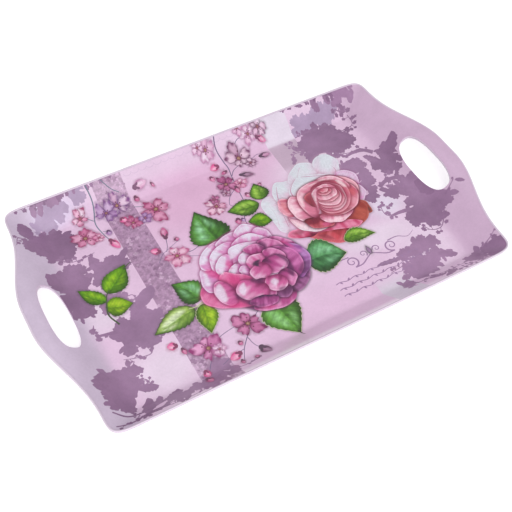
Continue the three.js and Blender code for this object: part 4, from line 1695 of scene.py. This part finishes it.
def print_material():
    """Watercolour ink under a clear glaze."""
    n = Nodes("printed_melamine")
    colour = n.make("Attribute", attribute_name="ink").outputs["Color"]
    grain = n.make("Attribute", attribute_name="grain").outputs["Vector"]
    place = n.make("TexCoord").outputs["Object"]
    split = n.make("SeparateXYZ")
    n.feed(split.inputs[0], grain)
    u, v, kind = split.outputs

    def is_kind(code):
        return n.math("COMPARE", n.math("SUBTRACT", kind, float(code)), 0.0)

    wash = n.remap(n.noise(place, 45.0, 4.0, 0.6), 0.3, 0.7, 0.955, 1.045)
    speck = n.remap(n.noise(place, 420.0, 3.0, 0.65), 0.3, 0.7, 0.965, 1.035)

    along = n.make("CombineXYZ")
    n.feed(along.inputs[0], n.math("MULTIPLY", u, 1.6))
    n.feed(along.inputs[1], n.math("MULTIPLY", v, 0.16))
    streak = n.remap(n.noise(along.outputs[0], 1.0, 3.0, 0.6), 0.28, 0.72, 0.86, 1.14)
    streak = n.blended(is_kind(PETAL), (1, 1, 1, 1), streak)

    slant = n.math("SUBTRACT", n.math("MULTIPLY", v, 8.0), n.math("MULTIPLY", n.math("ABSOLUTE", u), 2.2))
    vein = n.math("ABSOLUTE", n.math("SUBTRACT", n.math("FRACT", slant), 0.5))
    vein = n.remap(vein, 0.0, 0.1, 1.0, 0.0)
    rib = n.remap(n.math("ABSOLUTE", u), 0.015, 0.07, 1.0, 0.0)
    veins = n.math("MAXIMUM", n.math("MULTIPLY", vein, 0.3), rib)
    mottle = n.remap(n.noise(place, 170.0, 4.0, 0.6), 0.32, 0.68, 0.72, 1.26)
    quilt = n.remap(n.math("FRACT", slant), 0.05, 0.95, 1.08, 0.86)
    veined = n.math("MULTIPLY", mottle, quilt)
    veined = n.math("MULTIPLY", veined, n.remap(veins, 0.0, 1.0, 1.0, 1.3))
    veined = n.blended(is_kind(LEAF), (1, 1, 1, 1), veined)

    dapple = n.remap(n.noise(place, 70.0, 4.0, 0.62), 0.36, 0.66, 0.95, 1.08)
    dapple = n.blended(is_kind(SILHOUETTE), (1, 1, 1, 1), dapple)
    damask = n.remap(n.noise(place, 260.0, 5.0, 0.7), 0.42, 0.6, 0.84, 1.2)
    damask = n.blended(is_kind(LACE), (1, 1, 1, 1), damask)

    shade = n.math("MULTIPLY", wash, speck)
    colour = n.scaled(colour, shade)
    for factor in (streak, veined, dapple, damask):
        product = n.make("VectorMath", operation="MULTIPLY")
        n.feed(product.inputs[0], colour)
        n.feed(product.inputs[1], factor)
        colour = product.outputs[0]
    n.feed(n.surface.inputs["Base Color"], colour)
    n.feed(n.surface.inputs["Roughness"], n.remap(n.noise(place, 60.0), 0.3, 0.7, 0.34, 0.42))
    n.surface.inputs["Specular IOR Level"].default_value = 0.33
    n.surface.inputs["Coat Weight"].default_value = 0.22
    n.surface.inputs["Coat Roughness"].default_value = 0.12
    n.surface.inputs["Coat IOR"].default_value = 1.45
    return n.material


def moulding_material():
    """Pale lilac melamine with a faint cloudiness and a satin skin."""
    n = Nodes("lilac_melamine")
    place = n.make("TexCoord").outputs["Object"]
    cloud = n.noise(place, 30.0, 5.0, 0.6)
    tone = n.blended(cloud, (*ink(208, 191, 210), 1), (*ink(224, 209, 225), 1))
    n.feed(n.surface.inputs["Base Color"], tone)
    n.feed(n.surface.inputs["Roughness"], n.remap(n.noise(place, 90.0, 3.0), 0.3, 0.7, 0.3, 0.4))
    bump = n.make("Bump")
    bump.inputs["Strength"].default_value = 0.03
    bump.inputs["Distance"].default_value = 0.0004
    n.feed(bump.inputs["Height"], n.noise(place, 700.0, 2.0))
    n.feed(n.surface.inputs["Normal"], bump.outputs[0])
    n.surface.inputs["Coat Weight"].default_value = 0.3
    n.surface.inputs["Coat Roughness"].default_value = 0.15
    return n.material


# ---- stage, lights and camera ------------------------------------------------------------------


CAMERA_PLACE = (-287.41, -518.31, 730.12)
CAMERA_FORWARD = (0.30403, 0.54379, -0.78221)
CAMERA_ROLL_DEG = 0.375
CAMERA_LENS = 63.14  # for a sensor 36 wide
FLOOR_REACH = 9.0  # metres from the middle of the stage's floor to its edges
ROOM_LIGHT = 0.64


def add_camera():
    """Above and to the left of the tray's near side, with a slightly long lens."""
    forward = Vector(CAMERA_FORWARD).normalized()
    right = forward.cross(Vector((0, 0, 1))).normalized()
    up = right.cross(forward)
    roll = math.radians(CAMERA_ROLL_DEG)
    tilted_right = right * math.cos(roll) + up * math.sin(roll)
    tilted_up = up * math.cos(roll) - right * math.sin(roll)
    data = bpy.data.cameras.new("camera")
    data.sensor_width = 36.0
    data.lens = CAMERA_LENS
    data.clip_start = 0.01
    data.clip_end = 50.0
    camera = bpy.data.objects.new("camera", data)
    bpy.context.scene.collection.objects.link(camera)
    axes = Matrix((tilted_right, tilted_up, -forward)).transposed()
    camera.matrix_world = Matrix.Translation(Vector(CAMERA_PLACE) * MM) @ axes.to_4x4()
    bpy.context.scene.camera = camera


def add_floor():
    n = Nodes("white_paper")
    n.surface.inputs["Base Color"].default_value = (0.93, 0.93, 0.93, 1)
    n.surface.inputs["Roughness"].default_value = 0.9
    n.surface.inputs["Specular IOR Level"].default_value = 0.1
    n.surface.inputs["Emission Color"].default_value = (1, 1, 1, 1)
    n.surface.inputs["Emission Strength"].default_value = 0.3
    mesh = bpy.data.meshes.new("floor")
    r = FLOOR_REACH
    mesh.from_pydata([(-r, -r, 0), (r, -r, 0), (r, r, 0), (-r, r, 0)], [], [(0, 1, 2, 3)])
    mesh.materials.append(n.material)
    floor = bpy.data.objects.new("floor", mesh)
    bpy.context.scene.collection.objects.link(floor)


def add_light(name, place, target, size, power):
    data = bpy.data.lights.new(name, "AREA")
    data.shape = "DISK"
    data.size = size
    data.energy = power
    light = bpy.data.objects.new(name, data)
    light.location = place
    light.rotation_euler = (Vector(target) - Vector(place)).to_track_quat("-Z", "Y").to_euler()
    bpy.context.scene.collection.objects.link(light)


def add_lights():
    world = bpy.data.worlds.new("soft_room")
    world.use_nodes = True
    world.node_tree.nodes["Background"].inputs["Color"].default_value = (1, 1, 1, 1)
    world.node_tree.nodes["Background"].inputs["Strength"].default_value = ROOM_LIGHT
    bpy.context.scene.world = world
    add_light("key", (-0.5, -1.9, 1.9), (0, 0, 0), 1.6, 32.0)
    add_light("top", (0.3, 0.5, 2.4), (0, 0, 0), 2.0, 6.0)


# ---- the scene -----------------------------------------------------------------------------------


def main():
    add_camera()
    bpy.context.scene.view_settings.view_transform = "Standard"
    add_floor()
    add_lights()
    moulding = piece("tray_moulding", build_moulding(), "tray_body", "tray_body")
    moulding.data.materials.append(moulding_material())
    printed = piece("glazed_print", build_print(), "printed_foil", "printed_foil", "clear_glaze")
    printed.data.materials.append(print_material())


main()
